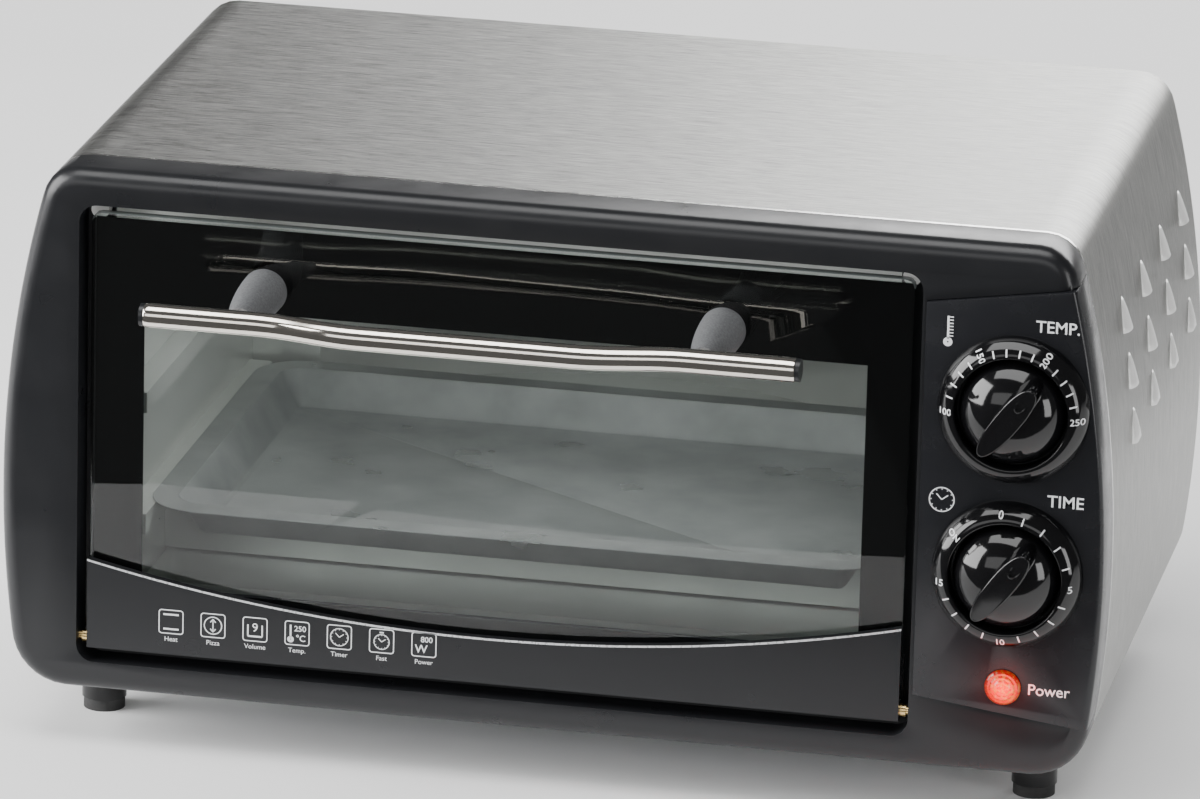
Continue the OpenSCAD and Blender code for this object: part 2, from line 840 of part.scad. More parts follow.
module wires() {
  color("firebrick") at_frame() for (w = wire_runs) {
    rod_y(w[1] + wire_bend, block_y + 12, w[0], wire_z, wire_r);
    translate([w[0], w[1] + wire_bend, wire_z + wire_bend]) rotate([90, 180, 90]) wire_quarter();
    translate([w[0], w[1], wire_z + wire_bend]) cylinder(r = wire_r, h = w[2] - wire_z - 2*wire_bend);
    translate([w[0], w[1] - wire_bend, w[2] - wire_bend]) rotate([90, 0, 90]) wire_quarter();
    rod_y(tab_y1, w[1] - wire_bend, w[0], w[2], wire_r);
  }
}

module wire_quarter() {
  rotate_extrude(angle = 90) translate([wire_bend, 0]) circle(r = wire_r, $fn = 24);
}

// ---------- door ----------

module door_glass() {
  r = 3;
  z0 = door_z + glass_lift;
  color("black", 0.6) at_frame() difference() {
    along_y(glass_y, glass_back) polygon([
      [door_x - door_w/2, z0], [door_x + door_w/2, z0],
      [door_x + door_w/2, door_top - r], [door_x + door_w/2 - r, door_top],
      [door_x - door_w/2 + r, door_top], [door_x - door_w/2, door_top - r]
    ]);
    for (s = [-1, 1]) rod_y(0, 20, bar_cx + s*post_x, bar_zz, handle_screw_r + fit_gap);
  }
}

module door_rail() {
  x0 = door_x - door_w/2;
  x1 = door_x + door_w/2;
  color("dimgray") at_frame() difference() {
    union() {
      box(x0, x1, rail_y, rail_back, door_z, door_z + glass_lift);
      along_y(rail_y, glass_y) difference() {
        translate([x0, door_z + glass_lift - eps]) square([door_w, 40]);
        translate([door_x - 2.35, door_z + rail_h + rail_r]) circle(r = rail_r, $fn = 720);
      }
      box(x0, x1, glass_back, rail_back, door_z + glass_lift - eps, door_z + rail_clip);
    }
    for (x = [x0 - 1, x1 - pin_in]) rod_x(x, x + pin_in + 1, pivot_y, pivot_z, pin_r + run_clear);
  }
}

module hinge_pins() {
  x0 = door_x - door_w/2;
  x1 = door_x + door_w/2;
  color("gold") at_frame() {
    rod_x(open_x0 - pin_out, x0 + pin_in - 0.5, pivot_y, pivot_z, pin_r);
    rod_x(x0 - 2, x0, pivot_y, pivot_z, pin_head);
    rod_x(x1 - pin_in + 0.5, open_x1 + pin_out, pivot_y, pivot_z, pin_r);
    rod_x(x1, x1 + 2, pivot_y, pivot_z, pin_head);
  }
}

// Seen from above the bar is a straight middle, two slanting runs a little
// slimmer that reach into it, and two straight ends
slant_slim = 0.25;
slant_into = 1.3;
slant_deg = atan(bar_bow/bar_bend);

module handle_bar() {
  depth = 8;
  slant = norm([bar_bend, bar_bow]);
  color("silver") at_frame() translate([bar_cx, bar_y, bar_zz]) {
    rod_x(-bar_mid/2, bar_mid/2, -bar_bow, 0, bar_r);
    for (turn = [0, 180]) rotate([0, turn, 0]) {
      translate([bar_mid/2, -bar_bow, 0]) rotate([0, 0, slant_deg])
        rod_x(-slant_into, slant + slant_into, 0, 0, bar_r - slant_slim);
      difference() {
        rod_x(bar_mid/2 + bar_bend, bar_len/2, 0, 0, bar_r);
        rod_x(bar_len/2 - depth, bar_len/2 + 1, 0, 0, bar_r - bar_wall);
      }
    }
  }
}

module handle_caps() {
  plug = 6;
  color("black") at_frame() for (s = [-1, 1]) {
    x = bar_cx + s*bar_len/2;
    rod_x(min(x, x + s*cap_t), max(x, x + s*cap_t), bar_y, bar_zz, bar_r - 0.3);
    rod_x(min(x - s*plug, x + s*eps), max(x - s*plug, x + s*eps), bar_y, bar_zz, bar_r - bar_wall - 0.05);
  }
}

handle_screw_r = 1.6;

module handle_posts() {
  tip_r = 4.2;
  len = bar_reach - bar_r*0.6;
  belly = (pow(len, 2) + pow(post_r - tip_r, 2))/(2*(post_r - tip_r));
  color("gray") at_frame() difference() {
    for (s = [-1, 1]) lathe_y(bar_cx + s*post_x, bar_zz) intersection() {
      translate([0, glass_y - len]) square([post_r, len]);
      translate([post_r - belly, glass_y]) circle(r = belly, $fn = 240);
    }
    translate([bar_cx, bar_y, bar_zz]) rotate([0, 90, 0]) cylinder(r = bar_r + 0.02, h = far, center = true);
    for (s = [-1, 1])
      rod_y(bar_y + bar_r + 0.8, far, bar_cx + s*post_x, bar_zz, handle_screw_r + fit_gap);
  }
}

module handle_screws() {
  color("silver") at_frame() for (s = [-1, 1]) {
    rod_y(glass_back, glass_back + 2, bar_cx + s*post_x, bar_zz, 3.2);
    rod_y(bar_y + bar_r + 1, glass_back + eps, bar_cx + s*post_x, bar_zz, handle_screw_r);
  }
}

// ---------- knobs ----------

module knob(z) {
  lens_r = (pow(knob_d/2 - 0.6, 2) + pow(grip_w/2, 2))/grip_w;
  grip_y = knob_back - knob_h;
  at_frame() translate([dial_x, 0, z]) rotate([0, pointer_deg, 0]) translate([-dial_x, 0, -z])
    difference() {
      union() {
        rod_y(knob_back - knob_skirt, knob_back, dial_x, z, knob_d/2);
        lathe_y(dial_x, z) intersection() {
          translate([0, knob_back - knob_skirt - dome_h]) square([knob_d/2, dome_h + eps]);
          translate([0, knob_back - knob_skirt - dome_h + dome_r]) circle(r = dome_r, $fn = 240);
        }
        intersection() {
          rod_y(grip_y, knob_back - 2, dial_x - lens_r + grip_w/2, z, lens_r);
          rod_y(grip_y, knob_back - 2, dial_x + lens_r - grip_w/2, z, lens_r);
        }
      }
      rod_y(shaft_front, knob_back + 1, dial_x, z, shaft_r + run_clear);
    }
}

module control_shaft(z) {
  at_frame() difference() {
    rod_y(shaft_front + 0.3, shaft_tail, dial_x, z, shaft_r);
    box(dial_x - 5, dial_x + 5, shaft_front, knob_back - 1, z + shaft_r - 1, z + 5);
  }
}

module temp_knob() {
  color("black") knob(temp_zz);
}

module temp_shaft() {
  color("silver") control_shaft(temp_zz);
}

module time_knob() {
  color("black") knob(time_zz);
}

module time_shaft() {
  color("silver") control_shaft(time_zz);
}

// ---------- trays ----------

// The tray's inside: sloping walls from an inset rim down to the floor
module tray_bowl(grow, z_top) {
  rim = tray_rim - grow;
  z0 = tray_z + 0.7 - tray_deep + sheet_t - grow;
  intersection() {
    along_y(tray_y0, tray_y1) polygon([
      [tray_x0 + rim, z_top], [tray_x1 - rim, z_top],
      [tray_x1 - rim - tray_slope, z0], [tray_x0 + rim + tray_slope, z0]
    ]);
    translate([tray_x0, 0, 0]) rotate([90, 0, 90]) linear_extrude(tray_x1 - tray_x0) polygon([
      [tray_y0 + rim, z_top], [tray_y1 - rim, z_top],
      [tray_y1 - rim - tray_slope, z0], [tray_y0 + rim + tray_slope, z0]
    ]);
  }
}

module baking_tray() {
  color("gainsboro") at_frame() difference() {
    union() {
      translate([0, 0, tray_z]) linear_extrude(0.7)
        round_rect(tray_x0, tray_x1, tray_y0, tray_y1, tray_corner);
      tray_bowl(sheet_t, tray_z + 0.4);
    }
    tray_bowl(0, tray_z + 0.8);
  }
}

crumb_lip = 5;
crumb_y = 36;

module crumb_tray() {
  z = cav_z0 + touch_gap;
  color("lightgray") at_frame() union() {
    box(cav_x0 + 1.5, cav_x1 - 1.5, crumb_y, cavity_d - 2, z, z + sheet_t);
    box(cav_x0 + 1.5, cav_x1 - 1.5, crumb_y, crumb_y + sheet_t, z, z + crumb_lip);
  }
}

// ---------- parts ----------

steel_cover();
front_bezel();
control_panel();
temp_dial_ring();
time_dial_ring();
lamp_lens();
lamp_housing();
base_panel();
rear_panel();
mains_gland();
feet();
foot_pads();
foot_screws();
rear_screws();
bezel_screws();
control_screws();
door_bumpers();
cavity_left_wall();
cavity_right_wall();
cavity_roof();
cavity_floor();
cavity_back();
heater_shield();
upper_heaters();
lower_heaters();
heater_insulators();
wall_rivets();
thermostat();
timer();
timer_bell();
terminal_block();
wires();
door_glass();
door_rail();
hinge_pins();
handle_bar();
handle_caps();
handle_posts();
handle_screws();
temp_knob();
temp_shaft();
time_knob();
time_shaft();
baking_tray();
crumb_tray();
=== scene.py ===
# %% [markdown]
# A compact toaster oven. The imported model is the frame: every piece below is
# placed by its boxes, in metres, X to the right, Y to the rear, Z up. The table
# is at Z = 0, and the front of the bezel is the plane that depths count from.

# %% Load the frame
import math
import bpy
from mathutils import Matrix, Vector


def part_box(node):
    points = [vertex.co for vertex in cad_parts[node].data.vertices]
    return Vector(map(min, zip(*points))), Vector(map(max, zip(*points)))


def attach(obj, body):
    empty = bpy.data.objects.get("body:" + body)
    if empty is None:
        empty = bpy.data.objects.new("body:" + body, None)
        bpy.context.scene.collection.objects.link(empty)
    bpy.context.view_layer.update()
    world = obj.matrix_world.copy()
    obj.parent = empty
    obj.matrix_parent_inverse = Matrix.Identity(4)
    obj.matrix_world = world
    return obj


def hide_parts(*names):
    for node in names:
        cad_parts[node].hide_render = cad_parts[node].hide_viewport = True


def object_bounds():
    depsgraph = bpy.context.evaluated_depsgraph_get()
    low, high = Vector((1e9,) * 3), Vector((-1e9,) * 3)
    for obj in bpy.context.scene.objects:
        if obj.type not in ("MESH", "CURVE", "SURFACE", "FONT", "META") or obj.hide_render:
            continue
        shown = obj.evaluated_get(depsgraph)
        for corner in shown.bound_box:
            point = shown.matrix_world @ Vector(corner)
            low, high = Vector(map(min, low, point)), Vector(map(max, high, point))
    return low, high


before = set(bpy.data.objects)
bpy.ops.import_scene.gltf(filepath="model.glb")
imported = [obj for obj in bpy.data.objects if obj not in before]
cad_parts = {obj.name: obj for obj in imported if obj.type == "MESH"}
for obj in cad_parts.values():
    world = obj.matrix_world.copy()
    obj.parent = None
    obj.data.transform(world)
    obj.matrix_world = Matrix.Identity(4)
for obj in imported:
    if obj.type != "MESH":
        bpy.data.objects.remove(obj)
cad_low, cad_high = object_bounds()
MM = 0.001
print("frame box in mm:", [round(v / MM, 1) for v in (*cad_low, *cad_high)])

# %% [markdown]
# The boxes of the main nodes give the front, the foot and the widest place of
# the body, and the middles of the dials and of the lamp. Depths are counted
# from the bezel's front, since everything the hand touches is set out from it.

# %% Sizes that follow from the frame
bezel_low, bezel_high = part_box("front_bezel")
glass_low, glass_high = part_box("door_glass")
rail_low, rail_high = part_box("door_rail")
cover_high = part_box("steel_cover")[1]
panel_low, panel_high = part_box("control_panel")
cavity_low, cavity_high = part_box("cavity_roof")
front = bezel_low.y
base_z, top_z = bezel_low.z, bezel_high.z
half_w = bezel_high.x


def depth(mm):
    """A distance behind the bezel's front, in metres."""
    return front + mm * MM


def middle(node):
    low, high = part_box(node)
    return (low + high) / 2


temp_at = middle("temp_dial_ring")
time_at = middle("time_dial_ring")
lamp_at = middle("lamp_lens")
door_mid = (glass_low.x + glass_high.x) / 2
print("bezel front at", round(front, 4), "door centre at", round(door_mid, 4))

# %% [markdown]
# Cords come first where there are any; this oven shows none, so the camera is
# the first thing made. It stands far off with a long lens, a little to the
# right and above, and is rolled a degree and a half.

# %% Camera
eye = Vector((554.46, 0, 1007.71)) * MM + Vector((0, depth(-2711.14), 0))
aim = Vector((-6.78, 0, 96.12)) * MM + Vector((0, depth(120), 0))
back = (eye - aim).normalized()
right = Vector((-back.y, back.x, 0)).normalized()
up = back.cross(right)
roll = math.radians(1.494)
cam_x = right * math.cos(roll) + up * math.sin(roll)
cam_y = up * math.cos(roll) - right * math.sin(roll)
lens = bpy.data.cameras.new("studio_camera")
lens.lens = 270.5
lens.sensor_width = 36
lens.clip_end = 50
camera = bpy.data.objects.new("studio_camera", lens)
camera.matrix_world = Matrix((cam_x, cam_y, back)).transposed().to_4x4()
camera.location = eye
bpy.context.scene.collection.objects.link(camera)
bpy.context.scene.camera = camera
print("camera at", [round(v, 3) for v in eye])

# %% [markdown]
# The pieces are made as by hand: a primitive, shaped in edit mode, finished
# with modifiers. These helpers keep the selection in order, since an operator
# works on all that is selected. Points, edges and faces are picked by place.

# %% Selection helpers


def rest():
    """Leave edit mode with nothing selected."""
    if bpy.context.object and bpy.context.object.mode != "OBJECT":
        bpy.ops.object.mode_set(mode="OBJECT")
    bpy.ops.object.select_all(action="DESELECT")


def only(piece):
    rest()
    piece.select_set(True)
    bpy.context.view_layer.objects.active = piece


def pick(piece, kind, test):
    """Enter edit mode with the points, edges or faces that pass the test."""
    only(piece)
    bpy.ops.object.mode_set(mode="EDIT")
    bpy.ops.mesh.select_mode(type=kind)
    bpy.ops.mesh.select_all(action="DESELECT")
    bpy.ops.object.mode_set(mode="OBJECT")
    mesh = piece.data
    parts = {"VERT": mesh.vertices, "EDGE": mesh.edges, "FACE": mesh.polygons}[kind]
    found = 0
    for part in parts:
        part.select = bool(test(part))
        found += part.select
    bpy.ops.object.mode_set(mode="EDIT")
    return found


def ends(piece, edge):
    return [piece.data.vertices[i].co for i in edge.vertices]


# %% [markdown]
# The rest of the hand tools: a box, a cylinder, one modifier at a time, a cut
# with another solid, soft edges, a weld and a join. The last one dresses a
# piece: it shades it, gives it a finish, and tells the frame which body carries
# it and which nodes it stands for.

# %% Making helpers


def named(name):
    piece = bpy.context.object
    piece.name = piece.data.name = name
    bpy.ops.object.transform_apply(location=True, rotation=True, scale=True)
    return piece


def block(name, low, high):
    """A box between two corners, to be cut and bevelled."""
    rest()
    low, high = Vector(low), Vector(high)
    bpy.ops.mesh.primitive_cube_add(size=1, location=(low + high) / 2, scale=high - low)
    return named(name)


ALONG = {"x": (0, math.pi / 2, 0), "y": (math.pi / 2, 0, 0), "z": (0, 0, 0)}


def drum(name, centre, radius, length, along="y", sides=64):
    rest()
    bpy.ops.mesh.primitive_cylinder_add(
        vertices=sides, radius=radius, depth=length, location=centre, rotation=ALONG[along]
    )
    return named(name)


def modify(piece, kind, **values):
    """Add one modifier, set it and apply it."""
    only(piece)
    modifier = piece.modifiers.new(kind.lower(), kind)
    for key, value in values.items():
        setattr(modifier, key, value)
    bpy.ops.object.modifier_apply(modifier=modifier.name)
    return piece


def cut(piece, tool, how="DIFFERENCE"):
    modify(piece, "BOOLEAN", object=tool, operation=how, solver="EXACT")
    bpy.data.objects.remove(tool)
    return piece


def soften(piece, width, turns=3, angle=40):
    """Round every sharp edge, as moulds and files do."""
    return modify(
        piece, "BEVEL", width=width, segments=turns, limit_method="ANGLE",
        angle_limit=math.radians(angle), harden_normals=False,
    )


def tidy_mesh(piece):
    pick(piece, "VERT", lambda v: True)
    bpy.ops.mesh.remove_doubles(threshold=0.00001)
    bpy.ops.mesh.normals_make_consistent(inside=False)
    rest()
    return piece


def join(name, pieces):
    rest()
    for piece in pieces:
        piece.select_set(True)
    bpy.context.view_layer.objects.active = pieces[0]
    if len(pieces) > 1:
        bpy.ops.object.join()
    return named(name)


def dress(piece, finish, body, slot, *nodes, angle=35):
    """Give a piece its finish, its body and the nodes that it stands for."""
    only(piece)
    bpy.ops.object.shade_smooth_by_angle(angle=math.radians(angle))
    rest()
    piece.data.materials.clear()
    piece.data.materials.append(finish)
    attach(piece, body)
    if nodes:
        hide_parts(*nodes)
    print(piece.name, len(piece.data.polygons), "faces")
    return piece


# %% [markdown]
# Materials are Principled shaders driven by a few noise nodes on Object
# coordinates, so the grain keeps its real size in millimetres. One helper makes
# the shader, and another makes a noise stretched as the finish needs.

# %% Material helpers


def finish(name, colour, roughness, **sockets):
    material = bpy.data.materials.new(name)
    material.use_nodes = True
    shader = material.node_tree.nodes["Principled BSDF"]
    shader.inputs["Base Color"].default_value = (*colour, 1)
    shader.inputs["Roughness"].default_value = roughness
    for key, value in sockets.items():
        shader.inputs[key.replace("_", " ")].default_value = value
    return material


def noise(material, per_metre, detail=3.0, stretch=(1, 1, 1), roughness=0.55):
    """A noise on Object coordinates with so many lumps to the metre."""
    tree = material.node_tree
    place = tree.nodes.new("ShaderNodeTexCoord")
    mapping = tree.nodes.new("ShaderNodeMapping")
    mapping.inputs["Scale"].default_value = [per_metre * s for s in stretch]
    pattern = tree.nodes.new("ShaderNodeTexNoise")
    pattern.inputs["Scale"].default_value = 1
    pattern.inputs["Detail"].default_value = detail
    pattern.inputs["Roughness"].default_value = roughness
    tree.links.new(place.outputs["Object"], mapping.inputs["Vector"])
    tree.links.new(mapping.outputs["Vector"], pattern.inputs["Vector"])
    return pattern.outputs["Fac"]


def ranged(material, value, low, high, start=0.3, stop=0.7):
    """Spread a noise between two numbers."""
    node = material.node_tree.nodes.new("ShaderNodeMapRange")
    node.inputs["From Min"].default_value = start
    node.inputs["From Max"].default_value = stop
    node.inputs["To Min"].default_value = low
    node.inputs["To Max"].default_value = high
    material.node_tree.links.new(value, node.inputs["Value"])
    return node.outputs["Result"]


def tinted(material, value, dark, light, start=0.3, stop=0.7):
    node = material.node_tree.nodes.new("ShaderNodeMix")
    node.data_type = "RGBA"
    node.inputs["A"].default_value = (*dark, 1)
    node.inputs["B"].default_value = (*light, 1)
    material.node_tree.links.new(ranged(material, value, 0, 1, start, stop), node.inputs["Factor"])
    return node.outputs["Result"]


def feed(material, socket, value):
    shader = material.node_tree.nodes["Principled BSDF"]
    material.node_tree.links.new(value, shader.inputs[socket])


def bumpy(material, value, distance, strength=1.0):
    tree = material.node_tree
    bump = tree.nodes.new("ShaderNodeBump")
    bump.inputs["Distance"].default_value = distance
    bump.inputs["Strength"].default_value = strength
    tree.links.new(value, bump.inputs["Height"])
    tree.links.new(bump.outputs["Normal"], tree.nodes["Principled BSDF"].inputs["Normal"])


# %% [markdown]
# The cover is stainless sheet, brushed along its wrap: across the top and down
# the sides. The scratches are long in that direction and very fine along the
# depth, so the noise is stretched along X and Z and fine along Y. It changes
# colour, roughness and relief a little at a time.

# %% Brushed steel
steel = finish("brushed_steel", (0.58, 0.58, 0.56), 0.34, Metallic=1.0)
hairline = noise(steel, 1, 5, (95, 2300, 95), 0.7)
feed(steel, "Roughness", ranged(steel, hairline, 0.27, 0.46))
feed(steel, "Base Color", tinted(steel, hairline, (0.15, 0.15, 0.145), (0.50, 0.50, 0.483), 0.36, 0.64))
bumpy(steel, hairline, 0.00006, 1.0)

# A paler, smoother copy of the steel: plain steel on the rear flange, a painted highlight on the front
# edge and lip.
pale_steel_lip_highlight = finish("pale_steel_and_lip_highlight", (0.78, 0.78, 0.76), 0.2, Metallic=1.0)
feed(pale_steel_lip_highlight, "Roughness", ranged(pale_steel_lip_highlight, noise(pale_steel_lip_highlight, 500, 2), 0.15, 0.28))

# Painted highlight: the vent hoods get a paler, less metallic copy of the steel, so they read bright
# like lit pressings.
hood_highlight_steel = finish("painted_highlight_steel", (0.90, 0.90, 0.88), 0.36, Metallic=0.35)
feed(hood_highlight_steel, "Roughness", ranged(hood_highlight_steel, noise(hood_highlight_steel, 1, 3, (300, 2500, 300)), 0.3, 0.45))

# %% [markdown]
# The bezel is satin black plastic with the fine grain of its mould; the panel
# and the scale rings are glossier, and the knobs are polished. All four are
# near black, so what tells them apart is how sharply they reflect.

# %% Black plastics
satin_black = finish("satin_black", (0.010, 0.0105, 0.012), 0.30, Specular_IOR_Level=0.42)
grain = noise(satin_black, 1600, 2)
feed(satin_black, "Roughness", ranged(satin_black, noise(satin_black, 60, 3), 0.27, 0.36))
bumpy(satin_black, grain, 0.00001, 0.2)
panel_black = finish("panel_black", (0.010, 0.0105, 0.0125), 0.24, Specular_IOR_Level=0.42)
feed(panel_black, "Roughness", ranged(panel_black, noise(panel_black, 90, 3), 0.20, 0.30))
bumpy(panel_black, noise(panel_black, 1400, 2), 0.000008, 0.2)
gloss_black = finish("gloss_black", (0.004, 0.004, 0.0045), 0.10, Specular_IOR_Level=0.5)
feed(gloss_black, "Roughness", ranged(gloss_black, noise(gloss_black, 120, 3), 0.06, 0.11))
rubber = finish("pad_rubber", (0.02, 0.02, 0.02), 0.7)
feed(rubber, "Roughness", ranged(rubber, noise(rubber, 500, 3), 0.6, 0.8))
bumpy(rubber, noise(rubber, 900, 2), 0.00005, 0.4)

# %% [markdown]
# The handle is a bright-nickel tube, a touch warm; the posts are grey with a
# fine sprayed texture; the hinge pins are brass.

# %% Bright metals
nickel = finish("polished_nickel", (0.86, 0.81, 0.74), 0.09, Metallic=1.0)
feed(nickel, "Roughness", ranged(nickel, noise(nickel, 1, 3, (8, 300, 300)), 0.07, 0.13))
post_grey = finish("post_grey", (0.20, 0.205, 0.21), 0.42)
feed(post_grey, "Base Color", tinted(post_grey, noise(post_grey, 1500, 2), (0.08, 0.083, 0.087),
                                    (0.16, 0.163, 0.167)))
bumpy(post_grey, noise(post_grey, 1200, 2), 0.00006, 0.5)
brass = finish("brass_pin", (0.78, 0.57, 0.26), 0.22, Metallic=1.0)
feed(brass, "Roughness", ranged(brass, noise(brass, 900, 2), 0.16, 0.3))
zinc = finish("zinc_plated", (0.66, 0.66, 0.66), 0.32, Metallic=1.0)
feed(zinc, "Roughness", ranged(zinc, noise(zinc, 700, 3), 0.25, 0.42))
dark_zinc = finish("zinc_sheet", (0.42, 0.43, 0.44), 0.42, Metallic=1.0)
spangle = noise(dark_zinc, 130, 3)
feed(dark_zinc, "Base Color", tinted(dark_zinc, spangle, (0.34, 0.35, 0.36), (0.48, 0.49, 0.5)))
feed(dark_zinc, "Roughness", ranged(dark_zinc, spangle, 0.34, 0.52))

# %% [markdown]
# The cavity is aluminised sheet: dull grey-green with a soft sheen and faint
# blotches from rolling. The tray is the same family, smoother and darker than the walls.

# %% Cavity and tray metals
cavity_metal = finish("aluminised_sheet", (0.60, 0.62, 0.59), 0.42, Metallic=0.75)
cloud = noise(cavity_metal, 40, 4)
feed(cavity_metal, "Base Color", tinted(cavity_metal, cloud, (0.62, 0.632, 0.61),
                                        (0.72, 0.732, 0.71), 0.2, 0.8))
feed(cavity_metal, "Roughness", ranged(cavity_metal, cloud, 0.28, 0.38))
bumpy(cavity_metal, noise(cavity_metal, 300, 2), 0.00005, 0.3)
tray_metal = finish("tray_metal", (0.44, 0.45, 0.45), 0.32, Metallic=0.8)
feed(tray_metal, "Base Color", tinted(tray_metal, noise(tray_metal, 60, 3),
                                      (0.39, 0.40, 0.40), (0.50, 0.51, 0.51)))
feed(tray_metal, "Roughness", ranged(tray_metal, noise(tray_metal, 30, 3), 0.26, 0.38))
rod_metal = finish("heater_rod", (0.06, 0.058, 0.055), 0.5, Metallic=0.4)
feed(rod_metal, "Base Color", tinted(rod_metal, noise(rod_metal, 400, 3),
                                     (0.04, 0.04, 0.04), (0.12, 0.11, 0.10)))
ceramic = finish("white_ceramic", (0.8, 0.78, 0.74), 0.55)
feed(ceramic, "Roughness", ranged(ceramic, noise(ceramic, 500, 3), 0.45, 0.65))
silicone = finish("white_silicone", (0.82, 0.82, 0.80), 0.45)
feed(silicone, "Roughness", ranged(silicone, noise(silicone, 600, 3), 0.38, 0.55))
print_white = finish("white_print", (0.72, 0.73, 0.74), 0.45)
feed(print_white, "Roughness", ranged(print_white, noise(print_white, 2000, 2), 0.4, 0.55))
print_silver = finish("silver_print", (0.70, 0.71, 0.72), 0.3, Metallic=0.6)
feed(print_silver, "Roughness", ranged(print_silver, noise(print_silver, 900, 2), 0.22, 0.4))
wire_red = finish("wire_sleeve", (0.35, 0.03, 0.02), 0.45)
feed(wire_red, "Roughness", ranged(wire_red, noise(wire_red, 900, 2), 0.38, 0.55))

# %% [markdown]
# The door glass is a clear pane. It mixes a Transparent shader with a Glossy
# one by Fresnel, so lamps reach the cavity through it, while it mirrors the
# handle and the room. The black border is print on its inner face.

# %% Door glass and lamp
pane = bpy.data.materials.new("door_pane")
pane.use_nodes = True
tree = pane.node_tree
tree.nodes.remove(tree.nodes["Principled BSDF"])
see = tree.nodes.new("ShaderNodeBsdfTransparent")
see.inputs["Color"].default_value = (0.90, 0.925, 0.915, 1)
shine = tree.nodes.new("ShaderNodeBsdfGlossy")
shine.inputs["Color"].default_value = (1, 1, 1, 1)
shine.inputs["Roughness"].default_value = 0.0
edge_shine = tree.nodes.new("ShaderNodeFresnel")
edge_shine.inputs["IOR"].default_value = 1.5
both = tree.nodes.new("ShaderNodeMixShader")
tree.links.new(edge_shine.outputs["Fac"], both.inputs["Fac"])
tree.links.new(see.outputs["BSDF"], both.inputs[1])
tree.links.new(shine.outputs["BSDF"], both.inputs[2])
tree.links.new(both.outputs["Shader"], tree.nodes["Material Output"].inputs["Surface"])

glass_edge = finish("polished_glass_edge", (0.30, 0.34, 0.33), 0.18)
feed(glass_edge, "Roughness", ranged(glass_edge, noise(glass_edge, 500, 2), 0.12, 0.26))
border_black = finish("border_print", (0.0035, 0.0035, 0.004), 0.05, Specular_IOR_Level=0.2)
feed(border_black, "Roughness", ranged(border_black, noise(border_black, 60, 2), 0.03, 0.06))
lamp_red = finish("lamp_red", (0.16, 0.003, 0.002), 0.12)
glow = noise(lamp_red, 900, 2)
feed(lamp_red, "Emission Color", tinted(lamp_red, glow, (1.0, 0.010, 0.002),
                                        (1.0, 0.34, 0.05), 0.46, 0.60))
tree = lamp_red.node_tree
spot = tree.nodes.new("ShaderNodeTexCoord")
span = tree.nodes.new("ShaderNodeVectorMath")
span.operation = "DISTANCE"
span.inputs[1].default_value = (lamp_at.x + 0.6 * MM, panel_low.y, lamp_at.z)
tree.links.new(spot.outputs["Object"], span.inputs[0])
feed(lamp_red, "Emission Strength", ranged(lamp_red, span.outputs["Value"], 1.5, 0.22,
                                           1.8 * MM, 5.6 * MM))

# %% [markdown]
# CAD nodes whose shape is right keep it and get a finish on their own slots.

# %% Finishes on the carried-over nodes
kept = {
    cavity_metal: ["cavity_left_wall", "cavity_right_wall", "cavity_roof", "cavity_floor",
                   "cavity_back", "heater_shield", "crumb_tray"],
    rod_metal: ["upper_heaters", "lower_heaters"],
    ceramic: ["heater_insulators", "lamp_housing", "terminal_block"],
    dark_zinc: ["base_panel", "rear_panel", "thermostat", "timer"],
    zinc: ["foot_screws", "rear_screws", "bezel_screws", "control_screws", "wall_rivets",
           "timer_bell", "handle_screws", "temp_shaft", "time_shaft"],
    satin_black: ["mains_gland", "door_rail", "handle_caps"],
    gloss_black: ["feet"],
    rubber: ["foot_pads"],
    silicone: ["door_bumpers"],
    brass: ["hinge_pins"],
    post_grey: ["handle_posts"],
    wire_red: ["wires"],
}
for material, nodes in kept.items():
    for name in nodes:
        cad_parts[name].data.materials.clear()
        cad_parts[name].data.materials.append(material)
print("finished", sum(len(n) for n in kept.values()), "carried-over nodes")

# %% [markdown]
# The body's outline, seen from the front, is a barrel: a flat top and bottom,
# two sides that are arcs of one large radius, and four round corners. The
# helper walks round it in even steps at any depth below the skin. A circle
# primitive whose points are moved onto this line is the start of the bezel,
# the cover and the panel, so all three share one curve.

# %% The barrel outline
SIDE_R = 394 * MM
side_x = half_w - SIDE_R
belly_z = base_z + 67.5 * MM
CORNER_TOP, CORNER_LOW = 12.5 * MM, 19 * MM
POINTS = 288


def corner_x(radius, z, inset):
    return side_x + math.sqrt((SIDE_R - inset - radius) ** 2 - (z - belly_z) ** 2)


